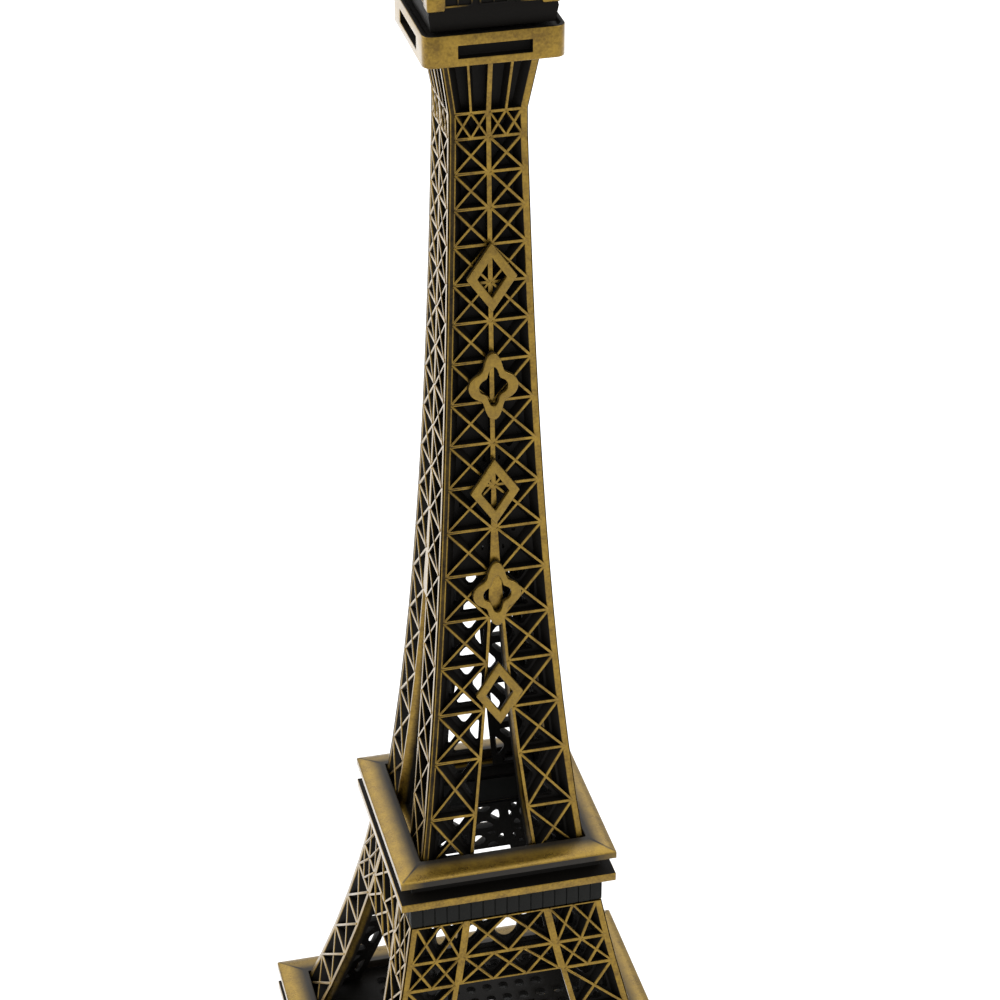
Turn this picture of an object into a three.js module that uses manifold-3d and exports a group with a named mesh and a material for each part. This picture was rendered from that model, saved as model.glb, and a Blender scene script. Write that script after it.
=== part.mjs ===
// Desk-top lattice tower: four curved lattice faces soldered at the corners, three
// gallery decks, arches between the legs, and a cabin, lantern, dome and mast on top.
// Millimetres, +Z up, origin on the table under the middle of the tower, front face at -Y.
import * as THREE from 'three';
import { mergeVertices } from 'three/addons/utils/BufferGeometryUtils.js';
import Module from 'manifold-3d';

const wasm = await Module();
wasm.setup();

// ---- driving dimensions ------------------------------------------------------------
const gap = 0.3;                 // solder or seating clearance between two castings

const panelDepth = 2.4;          // thickness of every lattice casting
const barWidth = 0.85;           // diagonals
const railWidth = 1.0;           // level bars
const borderWidth = 1.3;         // posts along the corners
const pocketDepth = 1.5;         // depth of the blind bays

const footHeight = 6;
const footMargin = 2.4;          // how far a foot block stands out past its leg
const lowerHeight = 35;          // feet to the underside of the first deck
const midHeight = 50.5;          // first deck to the underside of the second deck
const shaftHeight = 160.4;       // second deck to the underside of the third deck

const lowerTopHalf = 35;         // half width of the tower at the top of the lower legs
const lowerSplay = 0.46;
const lowerCurve = 0.00327;
const midTopHalf = 18.86;        // half width under the second deck
const midSplay = 0.1725;
const midCurve = 0.00153;
const shaftCoreHalf = 4.86;      // the shaft's half width falls off towards this value
const shaftFlareHalf = 11.25;    // what the foot of the shaft adds to it
const shaftFallOff = 85;         // height over which the flare fades
const capitalHeight = 15.8;      // the shaft opens out again under the third deck
const capitalCurve = 0.00052;

const midLegWidth = 11.3;        // width of a leg's lattice face between the decks
const lowerLegTopWidth = 11;     // the same at the top of a lower leg
const lowerInnerSplay = 0.322;   // lean of a lower leg's inner edge
const girderDrop = 13.2;         // foot of the girder under the second deck, below midTop
const girderRailDrop = 7.6;      // its middle rail

const shaftBays = 15;            // bays above the two tall ones at the foot
const shaftFootBays = [10.5, 11.9];
const shaftFirstBay = 10.1;
const shaftLastBay = 6.3;
const smallBandHeight = 4.6;     // row of small crosses under the flutes
const fluteCount = 4;
const fluteHeight = 10.4;        // tall narrow recesses under the third deck
const openBays = 6;              // bays that are pierced; the rest are blind

const deck1Overhang = 5.3;       // deck edge past the foot of the lattice that stands in it
const deck2Overhang = 4.9;
const deckEdge = 1.5;            // upright edge of the upper deck plate
const deckLip = 1.7;             // upright edge of the lower deck plate
const deckRise = 1.05;           // rise of the sloping top to the lattice
const grooveDepth = 2.6;
const grooveHeight = 3.7;        // between the two plates' edges
const lipRise = 0.75;            // slope of the lower plate inside the groove
const deckWell = 14;             // half width of the open middle of a deck
const band1Height = 4.4;         // friezes of blocks under the decks
const band2Height = 5.4;
const bandThickness = 2;

const archRise = 37;             // outer radius of the arches
const archBand = 3.4;            // radial thickness of the arches
const archDrop = 5;              // the arch centre lies this far below the foot tops
const girderHeight = 5;          // level girder over each arch
const girderWindows = 9;
const footClearance = 0.8;       // a foot block stands this far inside the arch's foot
const footChamfer = 1;

const galleryHalf = 12.1;
const galleryHeight = 5.5;
const galleryCorner = 1.8;
const galleryWindow = { width: 12.6, height: 2.3, depth: 1.6 };
const cabinHalf = 11.2;
const cabinNeckHalf = 10.5;
const cabinNeckHeight = 3.4;
const cabinHeight = 7.4;
const cabinWindow = { width: 4.6, height: 2.4, depth: 0.9, pitch: 6 };
const roofHalf = 12;
const roofHeight = 2.4;
const roofEdge = 1.2;
const roofLedge = 1.4;           // flat top of the roof round the lantern
const lanternHalf = 5;
const lanternHeight = 7;
const lanternArch = { width: 6, height: 5.2 };
const domeHeight = 4;
const domeRim = { overhang: 0.5, height: 0.8 };
const domeNeck = 1.7;
const mastHeight = 17.9;
const mastRadius = 0.8;
const mastCollar = { radius: 1.9, height: 0.9, slope: 0.7 };
const mastRing = { radius: 1.5, level: 7.5, height: 0.6, slope: 0.4 };
const mastTip = { radius: 0.36, height: 0.4 };

const lanternSill = 0.8;
const ornament = {
  width: 9, height: 13, thickness: 1.2, stroke: 1.9, count: 5, foot: 36.3, pitch: 20.9,
};

// ---- heights, from the ground up ---------------------------------------------------
const legFoot = footHeight + gap;
const legTop = legFoot + lowerHeight;
const deck1Base = legTop + band1Height + 2 * gap;
const midFoot = deck1Base + deckLip + grooveHeight;
const midTop = midFoot + midHeight;
const deck2Base = midTop + band2Height + 2 * gap;
const shaftFoot = deck2Base + deckLip + grooveHeight;
const shaftTop = shaftFoot + shaftHeight;
const galleryBase = shaftTop + gap;
const cabinBase = galleryBase + galleryHeight + gap;
const roofBase = cabinBase + cabinHeight + gap;
const lanternBase = roofBase + roofHeight + gap;
const domeBase = lanternBase + lanternHeight + gap;
const mastBase = domeBase + domeHeight + gap;

// ---- outlines of the tower: half width at a height ---------------------------------
const splay = (top, z, half, lean, curve) => half + lean * (top - z) + curve * (top - z) ** 2;
const lowerHalf = (z) => splay(legTop, z, lowerTopHalf, lowerSplay, lowerCurve);
const midHalf = (z) => splay(midTop, z, midTopHalf, midSplay, midCurve);
function shaftHalf(z) {
  const flare = shaftFlareHalf * Math.exp(-(z - shaftFoot) / shaftFallOff);
  const capital = Math.max(0, z - (shaftTop - capitalHeight));
  return shaftCoreHalf + flare + capitalCurve * capital ** 3;
}

// Inner edges of the legs. The lower legs give way to the arch where it is wider.
const midInner = (z) => midHalf(z) - midLegWidth;
const archCentre = footHeight - archDrop;
const archOuter = (z) => Math.sqrt(Math.max(0, archRise ** 2 - (z - archCentre) ** 2));
const lowerInnerTop = lowerTopHalf - lowerLegTopWidth;
const lowerInnerLine = (z) => lowerInnerTop + lowerInnerSplay * (legTop - z);
const lowerInner = (z) => Math.max(lowerInnerLine(z), archOuter(z) + gap);

// The ribs up the middle of a shaft face stand apart below this height.
const ribWidth = 0.85;
const ribOverlap = 0.35;         // share of its width by which each rib clears the middle line
const ribSplay = 0.0325;
const ribCurve = 0.00067;
const ribSplitHeight = 76;
const ribSlitHeight = 54;        // the slit between the ribs reaches this far up
function ribOffset(z) {
  const below = Math.max(0, shaftFoot + ribSplitHeight - z);
  return ribWidth * ribOverlap + ribSplay * below + ribCurve * below ** 2;
}

// ---- finishes ----------------------------------------------------------------------
const brass = { color: 0x8f7034, metalness: 0.9, roughness: 0.42 };
const darkBrass = { color: 0x3a3121, metalness: 0.8, roughness: 0.5 };
const paleBrass = { color: 0xa98a48, metalness: 0.9, roughness: 0.36 };

const tower = new THREE.Group();

/** Adds a named casting to the tower. */
function addPart(name, geometry, finish = brass, place = {}) {
  const mesh = new THREE.Mesh(geometry, new THREE.MeshStandardMaterial(finish));
  mesh.name = name;
  mesh.position.set(place.x ?? 0, place.y ?? 0, place.z ?? 0);
  mesh.rotation.set(place.tilt ?? 0, 0, place.turn ?? 0);
  tower.add(mesh);
  return mesh;
}

// ---- solids ------------------------------------------------------------------------

/** Joins a geometry's equal corners, leaving only its positions. */
function welded(geometry) {
  geometry.deleteAttribute('normal');
  geometry.deleteAttribute('uv');
  return mergeVertices(geometry, 1e-4);
}

/** Turns a closed geometry into a solid that can be cut. */
function solidOf(geometry) {
  const mesh = welded(geometry);
  const solid = new wasm.Mesh({
    numProp: 3,
    vertProperties: new Float32Array(mesh.attributes.position.array),
    triVerts: new Uint32Array(mesh.index.array),
  });
  return new wasm.Manifold(solid);
}

/** Gives a cut solid back as a geometry. */
function geometryOf(solid) {
  const mesh = solid.getMesh();
  const geometry = new THREE.BufferGeometry();
  geometry.setAttribute('position', new THREE.BufferAttribute(mesh.vertProperties, 3));
  geometry.setIndex(new THREE.BufferAttribute(mesh.triVerts, 1));
  return geometry;
}

/** Cuts each tool geometry out of the body. */
function cut(body, tools) {
  const solid = tools.reduce((rest, tool) => rest.subtract(solidOf(tool)), solidOf(body));
  return geometryOf(solid);
}

/** Extrudes an outline, a list of [u, v] corners, from one level to another. */
function plate(outline, from, to) {
  const shape = new THREE.Shape(outline.map(([u, v]) => new THREE.Vector2(u, v)));
  const geometry = new THREE.ExtrudeGeometry(shape, { depth: to - from, bevelEnabled: false });
  return geometry.translate(0, 0, from);
}

/** A plate with openings right through it, and pockets sunk in its front. */
function piercedPlate(outline, openings, depth, pockets = []) {
  const through = openings.map((opening) => plate(opening, -1, depth + 1));
  const sunk = pockets.map((pocket) => plate(pocket, depth - pocketDepth, depth + 1));
  return cut(plate(outline, 0, depth), [...through, ...sunk]);
}

/** A square ring or a square turned solid: the profile lists [half width, height] corners. */
function squareTurn(profile) {
  const area = THREE.ShapeUtils.area(profile.map(([x, y]) => new THREE.Vector2(x, y)));
  const around = area > 0 ? profile : [...profile].reverse();
  const onAxis = around.some(([x]) => x === 0);
  const closed = onAxis ? around : [...around, around[0]];
  const points = closed.map(([x, y]) => new THREE.Vector2(x * Math.SQRT2, y));
  return new THREE.LatheGeometry(points, 4, Math.PI / 4).rotateX(Math.PI / 2);
}

/** A round turned solid, from [radius, height] corners that start and end on the axis. */
function roundTurn(profile, sides) {
  const points = profile.map(([x, y]) => new THREE.Vector2(x, y));
  return new THREE.LatheGeometry(points, sides).rotateX(Math.PI / 2);
}

/**
 * Bends a flat plate, drawn as (u, height), onto the tower's curved front face.
 * Its back is drawn in evenly from the pivot line to the outer edge, so that the edge is
 * mitred to meet the next face, less a solder gap, and the openings taper with it.
 */
function bendToFace(flat, halfWidth, pivot = () => 0) {
  const position = flat.attributes.position;
  const seam = gap / Math.SQRT2;
  for (let i = 0; i < position.count; i += 1) {
    const u = position.getX(i);
    const z = position.getY(i);
    const inward = panelDepth - position.getZ(i);
    const half = halfWidth(z);
    const share = Math.max(0, (Math.abs(u) - pivot(z)) / (half - pivot(z)));
    position.setXYZ(i, u - Math.sign(u) * share * (seam + inward), inward - half, z);
  }
  return flat;
}

// ---- lattice drawing ---------------------------------------------------------------

/** Where two lines cross, each given by a point and a direction. */
function crossing([px, py], [dx, dy], [qx, qy], [ex, ey]) {
  const t = ((qx - px) * ey - (qy - py) * ex) / (dx * ey - dy * ex);
  return [px + t * dx, py + t * dy];
}

/** A triangle with its two edges at the apex moved in by half a bar. */
function triangleBetweenBars(a, b, apex) {
  const base = [b[0] - a[0], b[1] - a[1]];
  const middle = [(a[0] + b[0] + apex[0]) / 3, (a[1] + b[1] + apex[1]) / 3];
  const edges = [a, b].map((corner) => {
    const run = [apex[0] - corner[0], apex[1] - corner[1]];
    const length = Math.hypot(...run);
    const normal = [-run[1] / length, run[0] / length];
    const inside = (middle[0] - corner[0]) * normal[0] + (middle[1] - corner[1]) * normal[1];
    const shift = Math.sign(inside) * barWidth / 2;
    return { from: [corner[0] + normal[0] * shift, corner[1] + normal[1] * shift], run };
  });
  const left = crossing(edges[0].from, edges[0].run, a, base);
  const right = crossing(edges[1].from, edges[1].run, a, base);
  const top = crossing(edges[0].from, edges[0].run, edges[1].from, edges[1].run);
  return [left, right, top];
}

/** The clear quadrilateral between two upright edges and two levels. */
function cell(left, right, low, high) {
  const [z0, z1] = [low + railWidth / 2, high - railWidth / 2];
  return [[left(z0), z0], [right(z0), z0], [right(z1), z1], [left(z1), z1]];
}

/** The four openings of a cell that is braced by two crossed bars. */
function crossBraced([a, b, c, d]) {
  const middle = crossing(a, [c[0] - a[0], c[1] - a[1]], b, [d[0] - b[0], d[1] - b[1]]);
  return [[a, b], [b, c], [c, d], [d, a]].map(([p, q]) => triangleBetweenBars(p, q, middle));
}

/** Splits the space between two upright edges into equal columns. */
function columns(left, right, count) {
  return Array.from({ length: count }, (_, i) => {
    const at = (share) => (z) => left(z) + (right(z) - left(z)) * share;
    const half = barWidth / 4;
    const start = i === 0 ? left : (z) => at(i / count)(z) + half;
    const end = i === count - 1 ? right : (z) => at((i + 1) / count)(z) - half;
    return [start, end];
  });
}

/** Evenly spaced heights from low to high, both included. */
function spaced(low, high, count) {
  return Array.from({ length: count + 1 }, (_, i) => low + ((high - low) * i) / count);
}

/** Mirrors a list of outlines to the other side of the face. */
const mirrored = (outlines) => outlines.map((outline) => outline.map(([u, z]) => [-u, z]));

const faces = ['front', 'right', 'back', 'left'];
const quarterTurn = (index) => ({ turn: (index * Math.PI) / 2 });

// ---- feet --------------------------------------------------------------------------
const footOuter = lowerHalf(legFoot) + footMargin;
const footInner = Math.sqrt(archRise ** 2 - (legFoot - archCentre) ** 2) - archBand
  - footClearance;
const footHalf = (footOuter - footInner) / 2;
const footCentre = (footOuter + footInner) / 2;
const corners = { front_left: [-1, -1], front_right: [1, -1], back_right: [1, 1], back_left: [-1, 1] };

function footBlock() {
  return squareTurn([
    [0, 0], [footHalf, 0], [footHalf, footHeight - footChamfer],
    [footHalf - footChamfer, footHeight], [0, footHeight],
  ]);
}

for (const [corner, [sx, sy]] of Object.entries(corners)) {
  addPart(`foot_${corner}`, footBlock(), brass, { x: sx * footCentre, y: sy * footCentre });
}

// ---- legs --------------------------------------------------------------------------

/** One lattice face of a leg, right of the middle, with its bays' openings. */
function legFace(levels, half, inner, openings, side) {
  const outline = [
    ...levels.map((z) => [half(z), z]),
    ...[...levels].reverse().map((z) => [inner(z), z]),
  ];
  const [edge, ...holes] = side > 0 ? [outline, ...openings] : mirrored([outline, ...openings]);
  return bendToFace(piercedPlate(edge, holes, panelDepth), half, inner);
}

const lowerLevels = spaced(legFoot, legTop, 8);
const lowerRails = lowerLevels.filter((_, i) => i % 2 === 0);
const lowerPost = (z) => lowerHalf(z) - borderWidth;
const lowerStile = (z) => lowerInner(z) + borderWidth;
const lowerOpenings = lowerRails.slice(1).flatMap((high, i) =>
  crossBraced(cell(lowerStile, lowerPost, lowerRails[i], high)));

const midGirderFoot = midTop - girderDrop;
const midGirderRail = midTop - girderRailDrop;
const midRails = [...spaced(midFoot, midGirderFoot, 4), midGirderRail, midTop];
const midPost = (z) => midHalf(z) - borderWidth;
const midStile = (z) => midInner(z) + borderWidth;
const midOpenings = midRails.slice(1).flatMap((high, i) => {
  const low = midRails[i];
  if (high <= midGirderFoot + gap) return crossBraced(cell(midStile, midPost, low, high));
  const pair = columns(midStile, midPost, 2).map(([a, b]) => cell(a, b, low, high));
  return high === midTop ? pair.flatMap(crossBraced) : pair;
});

faces.forEach((face, index) => {
  for (const [side, hand] of [[-1, 'left'], [1, 'right']]) {
    addPart(`lower_leg_${face}_${hand}`,
      legFace(lowerLevels, lowerHalf, lowerInner, lowerOpenings, side), brass, quarterTurn(index));
    addPart(`mid_leg_${face}_${hand}`,
      legFace(midRails, midHalf, midInner, midOpenings, side), brass, quarterTurn(index));
  }
});

// ---- arches and girders ------------------------------------------------------------

const spandrelRanges = [[43, 51], [53, 60], [62, 69]];   // degrees up from the ground

/** A point on the arch's circle. */
const onArch = (radius, angle) => [radius * Math.cos(angle), archCentre + radius * Math.sin(angle)];

/** Radius at which a ray from the arch's centre meets the girder or the leg's post. */
function spandrelReach(angle, girderFoot) {
  const up = (girderFoot - archCentre) / Math.sin(angle);
  const post = lowerInnerTop - gap - borderWidth + lowerInnerSplay * (legTop - archCentre);
  return Math.min(up, post / (Math.cos(angle) + lowerInnerSplay * Math.sin(angle)));
}

function archCasting() {
  const girderFoot = legTop - girderHeight;
  const radius = archRise - archBand;
  const spring = Math.asin((legFoot - archCentre) / radius);
  const side = lowerLevels.map((z) => [lowerInner(z) - gap, z]);
  const steps = 24;
  const soffit = spaced(Math.PI - spring, spring, steps).map((angle) => onArch(radius, angle));
  const outline = [...side, ...mirrored([side])[0].reverse(), ...soffit];
  const spandrels = spandrelRanges.map((range) => {
    const [start, end] = range.map(THREE.MathUtils.degToRad);
    const angles = spaced(start, end, 2);
    const low = angles.map((angle) => onArch(archRise, angle));
    const high = [...angles].reverse().map((angle) => onArch(spandrelReach(angle, girderFoot), angle));
    return [...low, ...high];
  });
  const edge = (sign) => (z) => sign * (lowerInner(z) - gap - borderWidth);
  const windows = columns(edge(-1), edge(1), girderWindows).map(([a, b]) =>
    cell((z) => a(z) + barWidth / 4, (z) => b(z) - barWidth / 4, girderFoot + railWidth / 2, legTop));
  const holes = [...spandrels, ...mirrored(spandrels), ...windows];
  return bendToFace(piercedPlate(outline, holes, panelDepth), lowerHalf, lowerInner);
}

function midGirder() {
  const levels = [midGirderFoot, midGirderRail, midTop];
  const reach = (z) => midInner(z) - gap;
  const side = levels.map((z) => [reach(z), z]);
  const outline = [...side, ...mirrored([side])[0].reverse()];
  const edge = (sign) => (z) => sign * (reach(z) - railWidth / 2);
  const small = columns(edge(-1), edge(1), 3).map(([a, b]) => cell(a, b, midGirderFoot, midGirderRail));
  const large = columns(edge(-1), edge(1), 2)
    .flatMap(([a, b]) => crossBraced(cell(a, b, midGirderRail, midTop)));
  return bendToFace(piercedPlate(outline, [...small, ...large], panelDepth), midHalf, midInner);
}

faces.forEach((face, index) => {
  addPart(`arch_${face}`, archCasting(), brass, quarterTurn(index));
  addPart(`mid_girder_${face}`, midGirder(), brass, quarterTurn(index));
});

// ---- decks -------------------------------------------------------------------------

/** Frieze of blocks that a deck rests on, standing on the lattice below. */
function deckBand(base, height, half) {
  return squareTurn([
    [half, base], [half, base + height],
    [half - bandThickness, base + height], [half - bandThickness, base],
  ]);
}

/** Lower deck plate: lip, sloping groove floor, neck, and the floor round the open well. */
function deckLower(base, half) {
  const neck = half - grooveDepth;
  const ledge = base + deckLip + grooveHeight - gap;
  return squareTurn([
    [deckWell, base], [half, base], [half, base + deckLip], [neck, base + deckLip + lipRise],
    [neck, ledge], [deckWell, ledge],
  ]);
}

/** Upper deck plate: a frame with a sloping top round the lattice that stands in it. */
function deckUpper(base, half, latticeHalf) {
  const low = base + deckLip + grooveHeight;
  const inner = (z) => latticeHalf(z) + gap;
  const top = low + deckEdge + deckRise;
  return squareTurn([[inner(low), low], [half, low], [half, low + deckEdge], [inner(top), top]]);
}

const deck1Half = midHalf(midFoot) + deck1Overhang;
const deck2Half = shaftHalf(shaftFoot) + deck2Overhang;

addPart('first_deck_band', deckBand(legTop + gap, band1Height, lowerTopHalf), darkBrass);
addPart('first_deck_lower_plate', deckLower(deck1Base, deck1Half), brass);
addPart('first_deck_upper_plate', deckUpper(deck1Base, deck1Half, midHalf), paleBrass);
addPart('second_deck_band', deckBand(midTop + gap, band2Height, midTopHalf), darkBrass);
addPart('second_deck_lower_plate', deckLower(deck2Base, deck2Half), brass);
addPart('second_deck_upper_plate', deckUpper(deck2Base, deck2Half, shaftHalf), paleBrass);

// ---- shaft -------------------------------------------------------------------------
function shaftRails() {
  const bays = [...shaftFootBays];
  for (let i = 0; i < shaftBays; i += 1) {
    bays.push(THREE.MathUtils.lerp(shaftFirstBay, shaftLastBay, i / (shaftBays - 1)));
  }
  const sum = bays.reduce((total, bay) => total + bay, 0);
  const stretch = (shaftHeight - smallBandHeight - fluteHeight) / sum;
  const rails = [shaftFoot];
  bays.forEach((bay) => rails.push(rails.at(-1) + bay * stretch));
  return [...rails, rails.at(-1) + smallBandHeight, shaftTop];
}

function shaftFace() {
  const rails = shaftRails();
  const outline = [
    ...rails.map((z) => [shaftHalf(z), z]),
    ...[...rails].reverse().map((z) => [-shaftHalf(z), z]),
  ];
  const post = (z) => shaftHalf(z) - borderWidth;
  const rib = (z) => ribOffset(z) + ribWidth / 2;
  const holes = [];
  const pockets = [];
  for (let i = 0; i < shaftBays + shaftFootBays.length; i += 1) {
    const bay = cell(rib, post, rails[i], rails[i + 1]);
    if (i < openBays) holes.push(...crossBraced(bay));
    else pockets.push(bay);
  }
  const across = (z) => -post(z);
  const tops = [[rails.at(-3), rails.at(-2)], [rails.at(-2), rails.at(-1)]];
  const topPockets = tops.flatMap(([low, high]) =>
    columns(across, post, fluteCount).map(([a, b]) => cell(a, b, low, high)));
  const slitEdge = (z) => Math.max(0.1, ribOffset(z) - ribWidth / 2);
  const slit = spaced(shaftFoot + railWidth, shaftFoot + ribSlitHeight, 3);
  const slitOutline = [
    ...slit.map((z) => [slitEdge(z), z]), ...[...slit].reverse().map((z) => [-slitEdge(z), z]),
  ];
  const openings = [...holes, ...mirrored(holes), slitOutline];
  const blind = [...pockets, ...mirrored(pockets), ...topPockets];
  return bendToFace(piercedPlate(outline, openings, panelDepth, blind), shaftHalf);
}

faces.forEach((face, index) => addPart(`shaft_${face}`, shaftFace(), brass, quarterTurn(index)));

// ---- ornaments on the front of the shaft -------------------------------------------

/** Closed outline of a lobed or plain lozenge, scaled to a half width and half height. */
function ornamentOutline(lobed, halfWide, halfTall) {
  const points = lobed ? 16 : 4;
  return Array.from({ length: points }, (_, i) => {
    const angle = (i / points) * 2 * Math.PI;
    const reach = lobed ? 0.82 + 0.18 * Math.cos(4 * angle) : 1;
    return [halfWide * reach * Math.cos(angle), halfTall * reach * Math.sin(angle)];
  });
}

function ornamentPlate(lobed) {
  const [wide, tall] = [ornament.width / 2, ornament.height / 2];
  const outer = ornamentOutline(lobed, wide, tall);
  const inner = ornamentOutline(lobed, wide - ornament.stroke, tall - ornament.stroke * 1.4);
  return piercedPlate(outer, [inner], ornament.thickness);
}

for (let i = 0; i < ornament.count; i += 1) {
  const lobed = i % 2 === 1;
  const z = shaftFoot + ornament.foot + i * ornament.pitch;
  const lean = Math.atan((shaftHalf(z - 1) - shaftHalf(z + 1)) / 2);
  const place = { y: -shaftHalf(z) - gap, z, tilt: Math.PI / 2 - lean };
  addPart(`ornament_${i + 1}_${lobed ? 'quatrefoil' : 'lozenge'}`, ornamentPlate(lobed), paleBrass, place);
}

// ---- third deck and everything above it --------------------------------------------

/** Square with rounded corners. */
function roundedSquare(half, radius) {
  const steps = 3;
  return [0, 1, 2, 3].flatMap((quarter) => spaced(0, Math.PI / 2, steps).map((angle) => {
    const turn = angle + (quarter * Math.PI) / 2;
    const [cx, cy] = [[1, 1], [-1, 1], [-1, -1], [1, -1]][quarter];
    const centre = half - radius;
    return [cx * centre + radius * Math.cos(turn), cy * centre + radius * Math.sin(turn)];
  }));
}

/** Shallow window recesses on all four sides, at the given places along each side. */
function windowRecesses(window, half, height, places) {
  return faces.flatMap((_, index) => places.map((x) =>
    new THREE.BoxGeometry(window.width, 2 * window.depth, window.height)
      .translate(x, -half, height)
      .rotateZ((index * Math.PI) / 2)));
}

function gallery() {
  const outline = roundedSquare(galleryHalf, galleryCorner);
  const body = plate(outline, galleryBase, galleryBase + galleryHeight);
  const middle = galleryBase + galleryHeight * 0.45;
  return cut(body, windowRecesses(galleryWindow, galleryHalf, middle, [0]));
}

function cabin() {
  const top = cabinBase + cabinHeight;
  const neckTop = cabinBase + cabinNeckHeight;
  const body = squareTurn([
    [0, cabinBase], [cabinNeckHalf, cabinBase], [cabinHalf, neckTop], [cabinHalf, top], [0, top],
  ]);
  const pitch = cabinWindow.pitch;
  return cut(body, windowRecesses(cabinWindow, cabinHalf, (neckTop + top) / 2, [-pitch, 0, pitch]));
}

function cabinRoof() {
  const top = roofBase + roofHeight;
  return squareTurn([
    [0, roofBase], [roofHalf, roofBase], [roofHalf, roofBase + roofEdge],
    [lanternHalf + roofLedge, top], [0, top],
  ]);
}

function lantern() {
  const body = squareTurn([
    [0, lanternBase], [lanternHalf, lanternBase],
    [lanternHalf, lanternBase + lanternHeight], [0, lanternBase + lanternHeight],
  ]);
  const radius = lanternArch.width / 2;
  const spring = lanternArch.height - radius;
  const head = spaced(0, Math.PI, 6).map((angle) =>
    [radius * Math.cos(angle), lanternSill + spring + radius * Math.sin(angle)]);
  const outline = [...head, [-radius, lanternSill], [radius, lanternSill]];
  const reach = 1.5 * lanternHalf;
  const tunnel = () => plate(outline, -reach, reach).rotateX(Math.PI / 2).translate(0, 0, lanternBase);
  return cut(body, [tunnel(), tunnel().rotateZ(Math.PI / 2)]);
}

function dome() {
  const radius = lanternHalf + domeRim.overhang;
  const rise = domeHeight - domeRim.height;
  const last = Math.acos(domeNeck / radius);
  const curve = spaced(0, last, 5).map((angle) => [
    radius * Math.cos(angle),
    domeBase + domeRim.height + (rise * Math.sin(angle)) / Math.sin(last),
  ]);
  return roundTurn([[0, domeBase], [radius, domeBase], ...curve, [0, domeBase + domeHeight]], 20);
}

function mast() {
  const top = mastBase + mastHeight;
  const shoulder = mastBase + mastCollar.height;
  const ring = mastBase + mastRing.level;
  const ringTop = ring + mastRing.slope + mastRing.height;
  return roundTurn([
    [0, mastBase], [mastCollar.radius, mastBase], [mastCollar.radius, shoulder],
    [mastRadius, shoulder + mastCollar.slope], [mastRadius, ring],
    [mastRing.radius, ring + mastRing.slope], [mastRing.radius, ringTop],
    [mastRadius, ringTop + mastRing.slope], [mastTip.radius, top - mastTip.height], [0, top],
  ], 12);
}

addPart('third_deck_gallery', gallery(), brass);
addPart('cabin', cabin(), darkBrass);
addPart('cabin_roof', cabinRoof(), brass);
addPart('lantern', lantern(), brass);
addPart('dome', dome(), paleBrass);
addPart('mast', mast(), paleBrass);

export default tower;
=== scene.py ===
"""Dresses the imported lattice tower.

Every casting of the frame is stood for by a detailed one with bevelled bars, sunk and pierced
bays and an antique-brass finish, and a plain studio is set up round it. Shapes are drawn in
millimetres and brought to metres when a piece is finished.
"""
import logging
import math
import random
from dataclasses import dataclass, field
from enum import Enum
from typing import Callable, Iterable, Sequence

import bmesh
import bpy
from bmesh.types import BMEdge, BMesh, BMFace, BMVert
from mathutils import Matrix, Vector, noise
from mathutils.geometry import intersect_line_line


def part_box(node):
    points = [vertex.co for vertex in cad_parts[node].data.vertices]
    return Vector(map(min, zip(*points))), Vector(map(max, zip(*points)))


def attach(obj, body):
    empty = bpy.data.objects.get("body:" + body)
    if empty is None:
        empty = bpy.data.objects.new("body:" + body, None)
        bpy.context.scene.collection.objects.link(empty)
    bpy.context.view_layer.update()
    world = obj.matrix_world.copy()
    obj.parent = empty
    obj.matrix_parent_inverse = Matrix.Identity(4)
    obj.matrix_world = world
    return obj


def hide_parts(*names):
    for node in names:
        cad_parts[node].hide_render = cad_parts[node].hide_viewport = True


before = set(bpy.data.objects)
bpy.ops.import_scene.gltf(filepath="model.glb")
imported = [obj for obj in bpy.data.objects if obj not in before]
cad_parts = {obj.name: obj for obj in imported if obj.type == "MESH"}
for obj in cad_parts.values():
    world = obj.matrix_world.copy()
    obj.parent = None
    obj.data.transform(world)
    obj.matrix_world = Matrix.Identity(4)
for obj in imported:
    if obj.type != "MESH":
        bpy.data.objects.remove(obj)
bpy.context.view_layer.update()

LOG = logging.getLogger("tower")
MM = 0.001
TINY = 1e-4
RUB = "rub"
RUB_TOP = 0.06
WINDOW_SHINE = 0.14
FACES = ("front", "right", "back", "left")
QUARTERS = tuple(index * math.pi / 2 for index in range(4))
Z_AXIS = Vector((0.0, 0.0, 1.0))

Line = Callable[[float], float]
Corner = Callable[[int, int], tuple[float, float]]
Rub = Callable[[Vector], float]


class Slot(Enum):
    """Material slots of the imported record."""

    CAST = "cast_brass"
    DARK = "dark_brass"
    BRIGHT = "bright_brass"


class Cell(Enum):
    """What a bay of a cast plate holds."""

    CROSS = "crossed bars over a pierced web"
    BLIND_CROSS = "crossed bars over a closed web"
    FLECKED_CROSS = "crossed bars over a web with a few casting flaws"
    COFFER = "a plain sunk field"
    PIERCED = "a round hole"
    OPEN = "no metal at all"


# ---- measures of the frame ------------------------------------------------------------


def cad_box(node: str) -> tuple[Vector, Vector]:
    """Gives a CAD node's lowest and highest corners in millimetres.

    Args:
        node: Name of the node.

    Returns:
        The two corners.
    """
    low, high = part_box(node)
    return low / MM, high / MM


def blend(low: float, high: float, share: float) -> float:
    """Returns the value a share of the way from low to high."""
    return low + (high - low) * share


def spaced(low: float, high: float, count: int) -> list[float]:
    """Returns count + 1 evenly spaced values from low to high."""
    return [blend(low, high, i / count) for i in range(count + 1)]


def extent(node: str) -> tuple[float, float, float]:
    """Gives the size of a CAD node that stands on the tower's axis.

    Args:
        node: Name of the node.

    Returns:
        Its half width and the heights of its foot and its top, in millimetres.
    """
    low, high = cad_box(node)
    return high.x, low.z, high.z


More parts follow.
